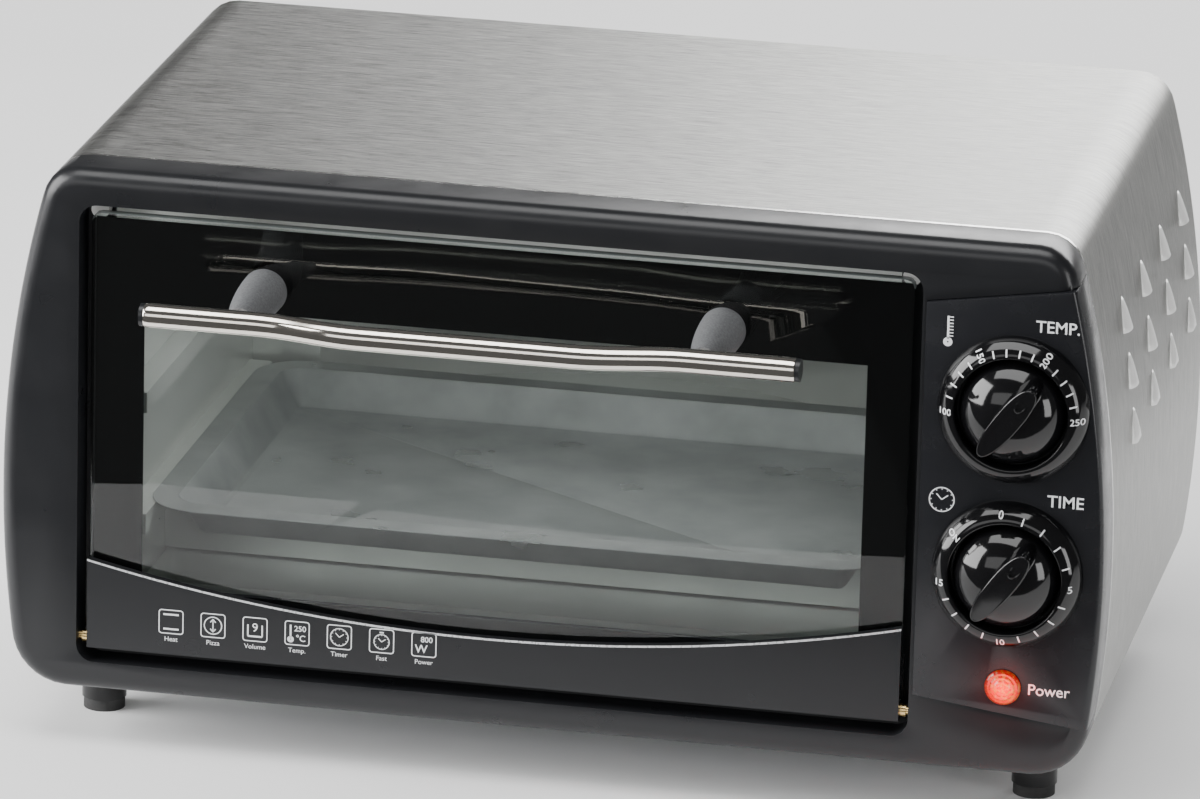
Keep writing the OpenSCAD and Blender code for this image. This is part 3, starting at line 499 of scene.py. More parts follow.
def outline(inset=0.0, points=POINTS):
    """Points (x, z) round the body, from the middle of its top, clockwise."""
    rt, rb = max(CORNER_TOP - inset, 0.001), max(CORNER_LOW - inset, 0.001)
    z_top, z_low = top_z - inset, base_z + inset
    ct = (corner_x(rt, z_top - rt, inset), z_top - rt)
    cb = (corner_x(rb, z_low + rb, inset), z_low + rb)
    lean_top = math.atan2(ct[1] - belly_z, ct[0] - side_x)
    lean_low = math.atan2(cb[1] - belly_z, cb[0] - side_x)
    walk = [(0, z_top)]
    for i in range(13):
        a = math.pi / 2 + (lean_top - math.pi / 2) * i / 12
        walk.append((ct[0] + rt * math.cos(a), ct[1] + rt * math.sin(a)))
    for i in range(1, 40):
        a = lean_top + (lean_low - lean_top) * i / 40
        r = SIDE_R - inset
        walk.append((side_x + r * math.cos(a), belly_z + r * math.sin(a)))
    for i in range(13):
        a = lean_low + (-math.pi / 2 - lean_low) * i / 12
        walk.append((cb[0] + rb * math.cos(a), cb[1] + rb * math.sin(a)))
    walk.append((0, z_low))
    gaps = [math.dist(a, b) for a, b in zip(walk, walk[1:])]
    total, right_side = sum(gaps), []
    for k in range(points // 2 + 1):
        left = total * k / (points // 2)
        for (a, b), gap in zip(zip(walk, walk[1:]), gaps):
            if left <= gap or b is walk[-1]:
                t = min(left / gap, 1)
                right_side.append((a[0] + (b[0] - a[0]) * t, a[1] + (b[1] - a[1]) * t))
                break
            left -= gap
    return right_side + [(-x, z) for x, z in right_side[-2:0:-1]]


def barrel(name, inset, y0, y1, fill="NGON"):
    """A circle moved onto the outline at the back, drawn out to the front."""
    rest()
    bpy.ops.mesh.primitive_circle_add(vertices=POINTS, radius=1, fill_type=fill)
    piece = bpy.context.object
    for vertex, (x, z) in zip(piece.data.vertices, outline(inset)):
        vertex.co = (x, y1, z)
    piece = named(name)
    pick(piece, "FACE" if fill == "NGON" else "EDGE", lambda part: True)
    if fill == "NGON":
        bpy.ops.mesh.extrude_region_move(TRANSFORM_OT_translate={"value": (0, y0 - y1, 0)})
    else:
        bpy.ops.mesh.extrude_edges_move(TRANSFORM_OT_translate={"value": (0, y0 - y1, 0)})
    bpy.ops.mesh.select_all(action="SELECT")
    bpy.ops.mesh.normals_make_consistent(inside=False)
    rest()
    return piece


print("outline points", len(outline()), "widest", round(max(x for x, z in outline()), 4))

# %% [markdown]
# The cover is one wrapped sheet. A ring of edges on the outline is drawn back
# in depth, its rear edge is turned in as a flange, and the sheet is given its
# thickness inwards. A round front lip of paler steel beside the bezel gives a
# bright line, a painted highlight. Under the feet the sheet is cut away for the
# base plate.

# %% Steel cover
FLANGE = 9 * MM
middle_z = (top_z + base_z) / 2
cover = barrel("steel_wrap", 0, depth(20.2), cover_high.y, "NOTHING")
pick(cover, "EDGE", lambda e: all(abs(c.y - cover_high.y) < 1e-6 for c in ends(cover, e)))
bpy.ops.mesh.extrude_edges_move(TRANSFORM_OT_translate={"value": (0, 0, 0)})
bpy.ops.object.mode_set(mode="OBJECT")
for v in cover.data.vertices:
    if v.select:
        v.co.x *= 1 - FLANGE / half_w
        v.co.z = middle_z + (v.co.z - middle_z) * (1 - FLANGE / (top_z - middle_z))
pick(cover, "FACE", lambda f: True)
bpy.ops.mesh.normals_make_consistent(inside=False)
rest()
modify(cover, "SOLIDIFY", thickness=0.6 * MM, offset=-1)
cut(cover, block("base_cut", (-0.14, depth(19), base_z - 0.001),
                 (0.14, cover_high.y + 0.01, base_z + 0.0012)))
cut(cover, block("tail_cut", (-0.15, cover_high.y - 0.0009, base_z - 0.001),
                 (0.15, cover_high.y + 0.01, base_z + 0.010)))

# %% [markdown]
# The vents are small pressed hoods, pointed at the top and open below: half
# cones that sink into the side. Each starts as a cone primitive and follows the
# side's curve; a slot is cut through the sheet under it. Rows and columns are
# counted from the foot and the front of the cover.

# %% Vent hoods
HOOD_H, HOOD_W, HOOD_OUT = 11.4 * MM, 6.2 * MM, 2.5 * MM
HOOD_ROW, HOOD_COLUMN, HOOD_LOW, HOOD_FIRST = 18.6 * MM, 42.7, 96 * MM, 68


def side_at(z):
    return side_x + math.sqrt(SIDE_R ** 2 - (z - belly_z) ** 2)


hoods, slots = [], []
for row in range(3):
    for column in range(4):
        z_low = base_z + HOOD_LOW + row * HOOD_ROW
        y = depth(HOOD_FIRST + HOOD_COLUMN * column)
        inner_x = side_at(z_low) - 2 * MM
        for side in (1, -1):
            rest()
            bpy.ops.mesh.primitive_cone_add(vertices=28, radius1=1, radius2=0, depth=1,
                                            end_fill_type="NOTHING", location=(0, 0, 0))
            hood = named("hood")
            pick(hood, "EDGE", lambda e: abs(ends(hood, e)[0].z - ends(hood, e)[1].z) > 0.5)
            bpy.ops.mesh.subdivide(number_cuts=5)
            rest()
            modify(hood, "SOLIDIFY", thickness=0.09, offset=-1)
            for v in hood.data.vertices:
                t = min(max(v.co.z + 0.5, 0), 1)
                swell = min((1 - t) ** 0.62 / max(1 - t, 0.02), 4)
                z = z_low + t * HOOD_H
                out = min(side_at(z) - 0.3 * MM + v.co.x * swell * HOOD_OUT, cover_high.x)
                v.co = (side * out, y + v.co.y * swell * HOOD_W, z)
            hoods.append(hood)
            slots.append(block("slot", (side * inner_x - 3 * MM, y - 3 * MM, z_low - 0.8 * MM),
                               (side * inner_x + 4 * MM, y + 3 * MM, z_low + 2.0 * MM)))
cut(cover, join("slots", slots))
hood_set = join("vent_hoods", hoods)
tidy_mesh(hood_set)
modify(hood_set, "BEVEL", width=0.0001, segments=1, limit_method="ANGLE", angle_limit=1.2)
dress(cover, steel, "body", "steel", "steel_cover", angle=40)

# %% [markdown]
# The brushing runs round the wrap, so the flange turned in at the rear does not
# show it end on. Faces that look back or forward, and the lip, get a plain
# paler steel; at the front this is a painted highlight, the bright line by the bezel.

# %% Cover's flange and lip
cover.data.materials.append(pale_steel_lip_highlight)
for face in cover.data.polygons:
    face.material_index = 1 if abs(face.normal.y) > 0.8 else 0
# The hoods wear the paler steel copy, a painted highlight.
dress(hood_set, hood_highlight_steel, "body", "steel", angle=60)
lip = barrel("cover_lip", 0.0, depth(18.8), depth(20.2), "NOTHING")
modify(lip, "SOLIDIFY", thickness=0.8 * MM, offset=-1)
dress(lip, pale_steel_lip_highlight, "body", "steel", angle=40)

# %% [markdown]
# The control panel is a wedge between two slanting lines. Its block starts as a
# cube whose outer points are moved, and it cuts the bezel too.

# %% The panel's wedge
PANEL_IN_LOW, PANEL_OUT_LOW = base_z + 25.8 * MM, base_z + 18.2 * MM
PANEL_IN_HIGH, PANEL_OUT_HIGH = base_z + 157.8 * MM, base_z + 167 * MM
panel_x0 = panel_low.x


def wedge(name, y0, y1, gap=0.0):
    reach = 0.2
    share = (reach - panel_x0) / (half_w - panel_x0)
    piece = block(name, (panel_x0 - gap, y0, 0), (reach, y1, 0.1))
    low_out = PANEL_IN_LOW + (PANEL_OUT_LOW - PANEL_IN_LOW) * share
    high_out = PANEL_IN_HIGH + (PANEL_OUT_HIGH - PANEL_IN_HIGH) * share
    for v in piece.data.vertices:
        outer, upper = v.co.x > 0.19, v.co.z > 0.05
        if upper:
            v.co.z = (high_out if outer else PANEL_IN_HIGH) + gap
        else:
            v.co.z = (low_out if outer else PANEL_IN_LOW) - gap
    return piece


# %% [markdown]
# The bezel is one moulding: a barrel slice with a large round on its front
# edge, a rebate with round corners that the door shuts into, and the opening of
# the cavity behind a lip. It could be a flat plate with a bevel modifier, but
# cutting each hollow with its own tool keeps the rebate's round corners clean.
# The rebate's edge gets a small round of its own, which draws a fine bright
# line along its lower side.

# %% Bezel
bezel = barrel("bezel_moulding", 0, front, depth(18.8))
found = pick(bezel, "EDGE", lambda e: all(abs(c.y - front) < 1e-6 for c in ends(bezel, e)))
bpy.ops.mesh.bevel(offset=5.6 * MM, segments=7, profile=0.5)
print("rounded", found, "edges of the bezel")

GAP = 3.3 * MM
open_x0, open_x1 = glass_low.x - GAP, glass_high.x + GAP
open_z0, open_z1 = rail_low.z - 4.7 * MM, glass_high.z + GAP


def rounded_box(name, low, high, radius, along="y", turns=8):
    """A box with its four edges along one axis rounded."""
    piece = block(name, low, high)
    axis = "xyz".index(along)
    pick(piece, "EDGE", lambda e: abs(ends(piece, e)[0][axis] - ends(piece, e)[1][axis]) > 1e-6)
    bpy.ops.mesh.bevel(offset=radius, segments=turns, profile=0.5)
    rest()
    return piece


hollow = barrel("hollow", 2.5 * MM, depth(3.8), depth(21))
cut(hollow, rounded_box("surround", (open_x0 - 0.0025, depth(0), open_z0 - 0.0025),
                        (open_x1 + 0.0015, depth(14), open_z1 + 0.0025), 8 * MM))
cut(bezel, hollow)
cut(bezel, wedge("seat", front - 0.01, depth(1.2), 0.0002))
skin = wedge("side_seat", depth(1.19), depth(19.5), 0.0002)
cut(skin, barrel("inside", 1.5 * MM, depth(1), depth(21)))
cut(bezel, skin)
cut(bezel, rounded_box("rebate", (open_x0, front - 0.01, open_z0),
                       (open_x1, depth(12), open_z1), 6 * MM))
floor_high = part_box("cavity_floor")[1]
cut(bezel, block("mouth", (cavity_low.x, depth(10), floor_high.z),
                 (cavity_high.x, depth(16), cavity_low.z)))
for at in (temp_at, time_at):
    cut(bezel, drum("shaft_hole", (at.x, depth(2), at.z), 3.8 * MM, 0.02))
cut(bezel, drum("lamp_hole", (lamp_at.x, depth(2), lamp_at.z), 6 * MM, 0.02))
soften(bezel, 1.1 * MM, 3, 50)
dress(bezel, satin_black, "body", "bezel_black", "front_bezel")

# %% [markdown]
# The panel is the same barrel slice, 2 mm proud of the bezel, kept only inside
# the wedge and hollowed to a 1.5 mm skin. Its front edges are bevelled, which
# shows as a bright line along its top and right.

# %% Control panel
panel = barrel("control_fascia", 0, panel_low.y, panel_high.y)
pick(panel, "EDGE", lambda e: all(abs(c.y - panel_low.y) < 1e-6 for c in ends(panel, e)))
bpy.ops.mesh.bevel(offset=2.2 * MM, segments=3, profile=0.5)
cut(panel, wedge("keep", panel_low.y - 0.01, panel_high.y + 0.01), "INTERSECT")
cut(panel, barrel("inside", 1.5 * MM, depth(1.2), depth(25)))
for at in (temp_at, time_at):
    cut(panel, drum("shaft_hole", (at.x, front, at.z), 3.8 * MM, 0.02))
cut(panel, drum("lamp_hole", (lamp_at.x, front, lamp_at.z), 5.6 * MM, 0.02))
soften(panel, 0.7 * MM, 3, 50)
dress(panel, panel_black, "body", "panel_black", "control_panel")

# %% [markdown]
# A turned piece is a profile spun about its axis. The profile here is a row of
# points given as radius and height towards the viewer, drawn from a vertex
# chain and spun in 64 steps, then merged where it closes on the axis.

# %% Turning helper


def turned(name, at, profile, steps=64):
    """Spin a profile of (radius, forward) points, in mm, about a line along Y."""
    rest()
    bpy.ops.mesh.primitive_circle_add(vertices=len(profile) + 1, radius=1, fill_type="NOTHING")
    piece = bpy.context.object
    for vertex, (radius, forward) in zip(piece.data.vertices, profile + [profile[-1]]):
        vertex.co = (at.x + radius * MM, at.y - forward * MM, at.z)
    piece = named(name)
    pick(piece, "VERT", lambda v: True)
    bpy.ops.mesh.remove_doubles(threshold=1e-7)
    bpy.ops.object.mode_set(mode="OBJECT")
    if profile[0] != profile[-1]:
        last = len(piece.data.vertices) - 1
        pick(piece, "EDGE", lambda e: set(e.vertices) == {0, last})
        bpy.ops.mesh.delete(type="EDGE")
    pick(piece, "VERT", lambda v: True)
    bpy.ops.mesh.spin(steps=steps, angle=2 * math.pi, center=at, axis=(0, 1, 0))
    bpy.ops.mesh.select_all(action="SELECT")
    bpy.ops.mesh.remove_doubles(threshold=1e-6)
    bpy.ops.mesh.normals_make_consistent(inside=False)
    rest()
    return piece


# %% [markdown]
# Each scale ring is a convex collar: a small round at its bore, a gentle fall
# to the panel and a thin foot. It is turned from one closed profile.

# %% Scale rings
RING_PROFILE = [
    (18.2, 0), (18.2, 6.2), (18.35, 6.6), (18.7, 6.85), (19.2, 6.9), (20.0, 6.7), (21.0, 6.2),
    (22.0, 5.4), (23.0, 4.35), (23.8, 3.2), (24.3, 2.1), (24.55, 1.0), (24.6, 0),
]


def ring_height(radius):
    for (r0, h0), (r1, h1) in zip(RING_PROFILE[4:], RING_PROFILE[5:]):
        if r0 <= radius <= r1:
            return h0 + (h1 - h0) * (radius - r0) / (r1 - r0)
    return 0


for which, at in (("temp", temp_at), ("time", time_at)):
    seat = Vector((at.x, panel_low.y, at.z))
    ring = turned(which + "_scale_ring", seat, RING_PROFILE + [RING_PROFILE[0]], 96)
    dress(ring, gloss_black, "body", "ring_black", which + "_dial_ring", angle=50)

# %% [markdown]
# A knob is a polished dome with a leaf-shaped grip across it. The dome is
# turned. The leaf is a cylinder drawn out to a long oval, its top cut to a slope
# and inset for a fine rim, and a small raised oval on its high end is the
# pointer. At rest both knobs point up and to the right.

# %% Knobs
POINTER = math.radians(36)
knob_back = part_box("temp_knob")[1].y
HALF_LEAF, HALF_WIDE = 15.8 * MM, 4.9 * MM
DOME = [(0, 12.6), (4, 12.3), (8, 11.3), (11, 9.9), (13.6, 8.0), (15.5, 5.9), (16.8, 3.6),
        (17.4, 1.4), (17.5, 0), (0, 0)]


def turn_piece(piece, at, angle):
    """Turn a finished mesh clockwise, seen from the front, about a dial's axis."""
    about = Vector((at.x, 0, at.z))
    turn = Matrix.Translation(about) @ Matrix.Rotation(angle, 4, "Y") @ Matrix.Translation(-about)
    piece.data.transform(turn)


for which, at in (("temp", temp_at), ("time", time_at)):
    seat = Vector((at.x, knob_back, at.z))
    dome = turned(which + "_dome", seat, DOME, 72)
    leaf = drum("leaf", (at.x, knob_back - 11 * MM, at.z), 1.0, 15 * MM, sides=96)
    for v in leaf.data.vertices:
        across, along = v.co.x - at.x, v.co.z - at.z
        round_x = math.copysign(abs(across) ** 0.86, across)
        round_z = math.copysign(abs(along) ** 0.86, along)
        v.co.x = at.x + round_x * HALF_WIDE * (1 + 0.10 * along)
        v.co.z = at.z + round_z * HALF_LEAF
        if v.co.y < knob_back - 12 * MM:
            v.co.y = knob_back - (16.2 + 2.1 * along) * MM
            v.co.x = at.x + (v.co.x - at.x) * 0.84
            v.co.z = at.z + (v.co.z - at.z) * 0.93
    pick(leaf, "FACE", lambda f: f.normal.y < -0.8)
    bpy.ops.mesh.inset(thickness=0.5 * MM)
    rest()
    soften(leaf, 0.9 * MM, 4, 40)
    rest()
    bpy.ops.mesh.primitive_torus_add(
        major_segments=32, minor_segments=8, major_radius=1.5 * MM, minor_radius=0.22 * MM,
        location=(at.x, knob_back - 17.35 * MM, at.z + 8.6 * MM), rotation=(math.pi / 2 - 0.13, 0, 0),
    )
    oval = named("oval")
    for v in oval.data.vertices:
        v.co.z = at.z + 8.6 * MM + (v.co.z - at.z - 8.6 * MM) * 1.75
    knob = join(which + "_control_knob", [dome, leaf, oval])
    turn_piece(knob, at, POINTER)
    dress(knob, gloss_black, which + "_dial", "knob_black", which + "_knob", angle=40)

# %% [markdown]
# Printed marks are thin meshes laid on their surface. A tick is a plane, a
# figure is text turned to mesh; both are drawn flat, moved to their place, and
# on the rings each point is lowered onto the ring's own curve.

# %% Printing helpers
PRINT = 0.04 * MM


def tick(at, angle, r0, r1, width):
    """A radial stroke, subdivided so that it can follow the ring."""
    rest()
    bpy.ops.mesh.primitive_plane_add(size=1, rotation=(math.pi / 2, 0, 0))
    piece = named("tick")
    pick(piece, "FACE", lambda f: True)
    bpy.ops.mesh.subdivide(number_cuts=3)
    rest()
    for v in piece.data.vertices:
        v.co = (at.x + v.co.x * width * MM, 0, at.z + (r0 + (r1 - r0) * (v.co.z + 0.5)) * MM)
    turn_piece(piece, at, math.radians(angle))
    return piece


def words(text, size, x, z, y=0.0, weight=0.0):
    """Text centred on a point of the front, as a mesh."""
    rest()
    bpy.ops.object.text_add()
    piece = bpy.context.object
    piece.data.body = text
    piece.data.size = size * MM
    piece.data.align_x, piece.data.align_y = "CENTER", "CENTER"
    piece.data.resolution_u = 4
    piece.data.offset = weight * MM
    bpy.ops.object.convert(target="MESH")
    piece = bpy.context.object
    piece.data.transform(Matrix.Translation((x, y, z)) @ Matrix.Rotation(math.pi / 2, 4, "X"))
    piece.name = piece.data.name = "mark"
    return piece


def lay_on_ring(piece, at, lift=0.09 * MM):
    """Divide a mark finely and lower each of its points onto the ring."""
    pick(piece, "FACE", lambda f: True)
    bpy.ops.mesh.subdivide(number_cuts=1)
    rest()
    for v in piece.data.vertices:
        radius = math.hypot(v.co.x - at.x, v.co.z - at.z) / MM
        v.co.y = panel_low.y - ring_height(radius) * MM - lift
    return piece


# %% [markdown]
# The temperature scale runs from 100 at nine o'clock to 250 at three, with
# four ticks between numbers. The timer starts at 0 near twelve and its steps
# shrink a little towards 15; ON keeps the heat on without the clock. A mark is
# made over the dial, turned to its angle and then about its own middle.

# %% Scales
MARK_R, TICK_IN, TICK_OUT, TICK_W = 21.4 * MM, 18.9, 21.6, 0.5


def figure(text, size, at, angle, turn):
    """A number at an angle on a dial, turned about its own middle."""
    mark = words(text, size, at.x, at.z + MARK_R, weight=0.04)
    turn_piece(mark, at, math.radians(angle))
    centre = Vector((at.x + MARK_R * math.sin(math.radians(angle)), 0,
                     at.z + MARK_R * math.cos(math.radians(angle))))
    return mark, centre, math.radians(turn)


marks = []
for i in range(16):
    angle = -90 + 12 * i
    if i % 5 == 0:
        upright = i in (0, 15)
        turn = -angle if upright else 90 if angle < 0 else -90
        mark, centre, turn = figure(str(100 + 50 * (i // 5)), 3.1, temp_at, angle, turn)
        if upright:
            inward = -0.9 * MM * math.sin(math.radians(angle))
            mark.data.transform(Matrix.Translation((inward, 0, 0)))
        turn_piece(mark, centre, turn)
    else:
        mark = tick(temp_at, angle, TICK_IN, TICK_OUT, TICK_W)
    marks.append(lay_on_ring(mark, temp_at))
hours = [(0, -5), (5, 95), (10, 182), (15, 262)]
for (m0, a0), (m1, a1) in zip(hours, hours[1:]):
    for k in range(1, 5):
        mark = tick(time_at, a0 + (a1 - a0) * k / 5, TICK_IN, TICK_OUT, TICK_W)
        marks.append(lay_on_ring(mark, time_at))
for number, angle in hours + [("ON", -52)]:
    on = number == "ON"
    mark, centre, turn = figure(str(number), 2.7 if on else 3.3, time_at, angle, 90 if on else -angle)
    turn_piece(mark, centre, turn)
    marks.append(lay_on_ring(mark, time_at))
print(len(marks), "marks on the scales")
dress(join("scale_print", marks), print_white, "body", "ring_black")

# %% [markdown]
# The panel carries three words, a small thermometer and a small clock. A ring
# is a disc, inset, with its middle taken out; a stroke is a plane laid between
# two points. The clock is drawn from these two, and serves the rail as well.

# %% Panel labels
on_panel = panel_low.y - PRINT
labels = [
    words("TEMP.", 5.5, 164.9 * MM, 171.9 * MM, on_panel, 0.06),
    words("TIME", 5.6, 169.6 * MM, 114.1 * MM, on_panel, 0.06),
    words("Power", 5.2, 166.6 * MM, 50.1 * MM, on_panel, 0.03),
]


def hoop(x, z, outer, line, y, sides=40):
    """A flat ring: a disc, inset, with its middle removed."""
    rest()
    bpy.ops.mesh.primitive_circle_add(vertices=sides, radius=outer * MM, fill_type="NGON",
                                      rotation=(math.pi / 2, 0, 0), location=(x * MM, y, z * MM))
    piece = named("hoop")
    pick(piece, "FACE", lambda f: True)
    bpy.ops.mesh.inset(thickness=line * MM)
    bpy.ops.mesh.delete(type="FACE")
    rest()
    return piece


def stroke(x0, z0, x1, z1, width, y):
    """A straight printed line between two points, in mm."""
    rest()
    bpy.ops.mesh.primitive_plane_add(size=1, rotation=(math.pi / 2, 0, 0))
    piece = named("stroke")
    length, angle = math.hypot(x1 - x0, z1 - z0), math.atan2(z1 - z0, x1 - x0)
    for v in piece.data.vertices:
        u, w = v.co.x * length, v.co.z * width
        v.co = (((x0 + x1) / 2 + u * math.cos(angle) - w * math.sin(angle)) * MM, y,
                ((z0 + z1) / 2 + u * math.sin(angle) + w * math.cos(angle)) * MM)
    return piece


def clock(x, z, radius, y, line=0.35):
    parts = [hoop(x, z, radius, line, y)]
    for k in range(12):
        a = math.radians(30 * k)
        outer, inner = radius - line * 0.5, radius * 0.78
        parts.append(stroke(x + outer * math.sin(a), z + outer * math.cos(a),
                            x + inner * math.sin(a), z + inner * math.cos(a), line * 0.8, y))
    parts.append(stroke(x, z, x + radius * 0.48, z + radius * 0.36, line, y))
    parts.append(stroke(x, z, x - radius * 0.42, z + radius * 0.44, line, y))
    return parts


SIGN_X = 129.6
labels += clock(SIGN_X, 111.8, 4.2, on_panel)
for k in range(7):
    z = 166.6 + k * 1.05
    labels.append(stroke(SIGN_X + 0.3, z, SIGN_X + 1.7, z, 0.35, on_panel))
labels.append(stroke(SIGN_X, 165.6, SIGN_X, 173.2, 0.7, on_panel))
labels.append(hoop(SIGN_X, 164.6, 1.5, 1.2, on_panel))
dress(join("panel_print", labels), print_white, "body", "panel_black")

# %% [markdown]
# The lamp's lens is a red cap of small prisms over a bright bulb. Concentric
# steps on a turned cap catch the light as the prisms do, and its finish glows
# most near the middle, where the bulb is.

# %% Lamp
LENS = [(0, 2.1), (0.9, 2.25), (1.5, 1.8), (2.3, 2.15), (2.9, 1.65), (3.7, 1.95), (4.2, 1.35),
        (5.0, 1.5), (5.5, 0.9), (5.9, 0.5), (5.9, 0), (5.4, 0), (5.4, -5), (0, -5)]
lens_piece = turned("lamp_cap", Vector((lamp_at.x, panel_low.y, lamp_at.z)), LENS, 48)
dress(lens_piece, lamp_red, "body", "lamp_red", "lamp_lens", angle=60)

# %% [markdown]
# The door is a plain pane with polished edges, dark print on its inner face
# with a sharp-cornered window, and a metal rail along its foot. The pane is a
# block with two clipped corners and a fine bevel. The print is a plate that is
# cut once for the window.

# %% Door glass
glass = block("door_pane", glass_low, glass_high)
pick(glass, "EDGE", lambda e: all(c.z > glass_high.z - 1e-5 for c in ends(glass, e))
     and abs(ends(glass, e)[0].y - ends(glass, e)[1].y) > 1e-5)
bpy.ops.mesh.bevel(offset=3 * MM, segments=3, profile=0.5)
rest()
soften(glass, 0.5 * MM, 2, 40)
POSTS_X, POSTS_Z = (-95.15 * MM, 55.85 * MM), 160.5 * MM
for x in POSTS_X:
    cut(glass, drum("post_hole", (x, depth(5), POSTS_Z), 1.8 * MM, 0.02, sides=24))
dress(glass, pane, "door", "glass", "door_glass")
glass.data.materials.append(glass_edge)
for face in glass.data.polygons:
    rim = abs(face.normal.y) < 0.5
    face.material_index = 1 if rim and face.center.z > glass_high.z - 0.004 else 0

window_x0, window_x1, window_z = -136 * MM, 102.5 * MM, 151.4 * MM
border = block("glass_border", (glass_low.x + 0.6 * MM, glass_high.y + 0.02 * MM, glass_low.z),
               (glass_high.x - 0.6 * MM, glass_high.y + 0.12 * MM, glass_high.z - 2.4 * MM))
cut(border, block("window", (window_x0, depth(0), glass_low.z - 0.01),
                  (window_x1, depth(20), window_z)))
dress(border, border_black, "door", "glass")

# %% [markdown]
# The rail's curved top has a fine silver line. It is a narrow plane, divided
# along its length, whose points are moved onto the curve.

# %% Rail trim
rail_face = rail_low.y - PRINT
RAIL_R, RAIL_DIP, RAIL_X = 600, 50.0, -20.0


def rail_top(x):
    """Height of the rail's curved edge over a place along it, in mm."""
    return RAIL_DIP + RAIL_R - math.sqrt(RAIL_R ** 2 - (x - RAIL_X) ** 2)


rest()
bpy.ops.mesh.primitive_grid_add(x_subdivisions=80, y_subdivisions=1, size=1,
                                rotation=(math.pi / 2, 0, 0))
trim = named("rail_trim")
x_from, x_to = rail_low.x / MM, rail_high.x / MM
for v in trim.data.vertices:
    x = x_from + (x_to - x_from) * (v.co.x + 0.5)
    drop = 0.15 if v.co.z > 0 else 0.85
    v.co = (x * MM, rail_face, (rail_top(x) - drop) * MM)
dress(trim, print_silver, "door", "rail_dark")

# %% [markdown]
# Seven small squares on the rail stand for what the oven does. Each is an
# outline with round corners and a simple generic sign: two bars for upper and
# lower heat, arrows across a disc, a measuring jug, a thermometer, a clock, a
# stop clock and the power in watts. Strokes are given from the square's middle.

# %% Rail symbols


def frame_mark(x, z, size, line, y):
    rest()
    bpy.ops.mesh.primitive_plane_add(size=size * MM, rotation=(math.pi / 2, 0, 0),
                                     location=(x * MM, y, z * MM))
    piece = named("frame")
    pick(piece, "VERT", lambda v: True)
    bpy.ops.mesh.bevel(offset=1.0 * MM, segments=3, affect="VERTICES")
    pick(piece, "FACE", lambda f: True)
    bpy.ops.mesh.inset(thickness=line * MM)
    bpy.ops.mesh.delete(type="FACE")
    rest()
    return piece


ICON_Z, ICON, FINE = 45.6, 8.4, 0.35
icon_x = [-124.4 + 14.15 * k for k in range(7)]


def lines(k, *strokes):
    """Strokes of one sign, each as (x0, z0, x1, z1, width) from its middle."""
    return [stroke(icon_x[k] + x0, ICON_Z + z0, icon_x[k] + x1, ICON_Z + z1, width, rail_face)
            for x0, z0, x1, z1, width in strokes]


def label(k, text, size, x, z, weight=0.0):
    return words(text, size, (icon_x[k] + x) * MM, (ICON_Z + z) * MM, rail_face, weight)


signs = [frame_mark(x, ICON_Z, ICON, FINE, rail_face) for x in icon_x]
signs += lines(0, (-2.6, 2.5, 2.6, 2.5, 0.6), (-2.6, -2.5, 2.6, -2.5, 0.6))
signs += [hoop(icon_x[1], ICON_Z, 3.1, FINE, rail_face)]
signs += lines(1, (0, -2.1, 0, 2.1, FINE), (-0.9, 1.1, 0, 2.2, FINE), (0.9, 1.1, 0, 2.2, FINE),
               (-0.9, -1.1, 0, -2.2, FINE), (0.9, -1.1, 0, -2.2, FINE))
signs += lines(2, (-2.4, -2.4, 2.4, -2.4, 0.6), (-2.4, -2.4, -2.4, 1.6, 0.5), (2.4, -2.4, 2.4, 1.6, 0.5))
signs += [label(2, "9", 4.2, 0, 0.5)]
signs += lines(3, (-2.2, -1.6, -2.2, 2.8, 0.6))
signs += [hoop(icon_x[3] - 2.2, ICON_Z - 2.2, 1.1, 0.9, rail_face, 20),
          label(3, "250", 2.7, 1.0, 1.5, 0.03), label(3, "°C", 3.0, 1.2, -1.8, 0.03)]
signs += clock(icon_x[4], ICON_Z, 3.1, rail_face, 0.3)
signs += clock(icon_x[5], ICON_Z - 0.3, 2.7, rail_face, 0.3)
signs += lines(5, (-0.7, 2.9, 0.7, 2.9, 0.5))
signs += [label(6, "800", 2.7, 0.9, 1.7, 0.03), label(6, "W", 4.0, -0.9, -1.6, 0.04)]
for k, caption in enumerate(("Heat", "Pizza", "Volume", "Temp.", "Timer", "Fast", "Power")):
    signs.append(label(k, caption, 2.3, 0, -6.0))
print(len(signs), "printed parts on the rail")
dress(join("rail_print", signs), print_white, "door", "rail_dark")

# %% [markdown]
# The handle is one tube with two gentle bends. A circle of the tube's size is
# carried along a line of stations, each turned to the line's direction; here
# that is a cylinder with many rings whose points are moved onto the line.

# %% Handle bar
bar_low, bar_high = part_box("handle_bar")
bar_x = (bar_low.x + bar_high.x) / 2
bar_z = (bar_low.z + bar_high.z) / 2
BAR_R = (bar_high.z - bar_low.z) / 2
bar_y = bar_high.y - BAR_R
BOW, MID, BEND = 5.95 * MM, 34 * MM, 37 * MM


def bow(x):
    """How far the bar's line stands out from its ends, over its length."""
    t = min(max((abs(x) - MID) / BEND, 0), 1)
    return BOW * (1 + math.cos(math.pi * t)) / 2


half_bar = (bar_high.x - bar_low.x) / 2
bar = drum("handle_tube", (0, 0, 0), BAR_R, half_bar * 2, "x", 40)
pick(bar, "EDGE", lambda e: abs(ends(bar, e)[0].x - ends(bar, e)[1].x) > 0.1)
bpy.ops.mesh.subdivide(number_cuts=95)
rest()
for v in bar.data.vertices:
    x = v.co.x
    slope = (bow(x + 1e-4) - bow(x - 1e-4)) / 2e-4
    turn = math.atan(-slope)
    v.co = (bar_x + x - math.sin(turn) * v.co.y,
            bar_y - bow(x) + math.cos(turn) * v.co.y, bar_z + v.co.z)
soften(bar, 0.4 * MM, 2, 60)
dress(bar, nickel, "door", "chrome", "handle_bar")

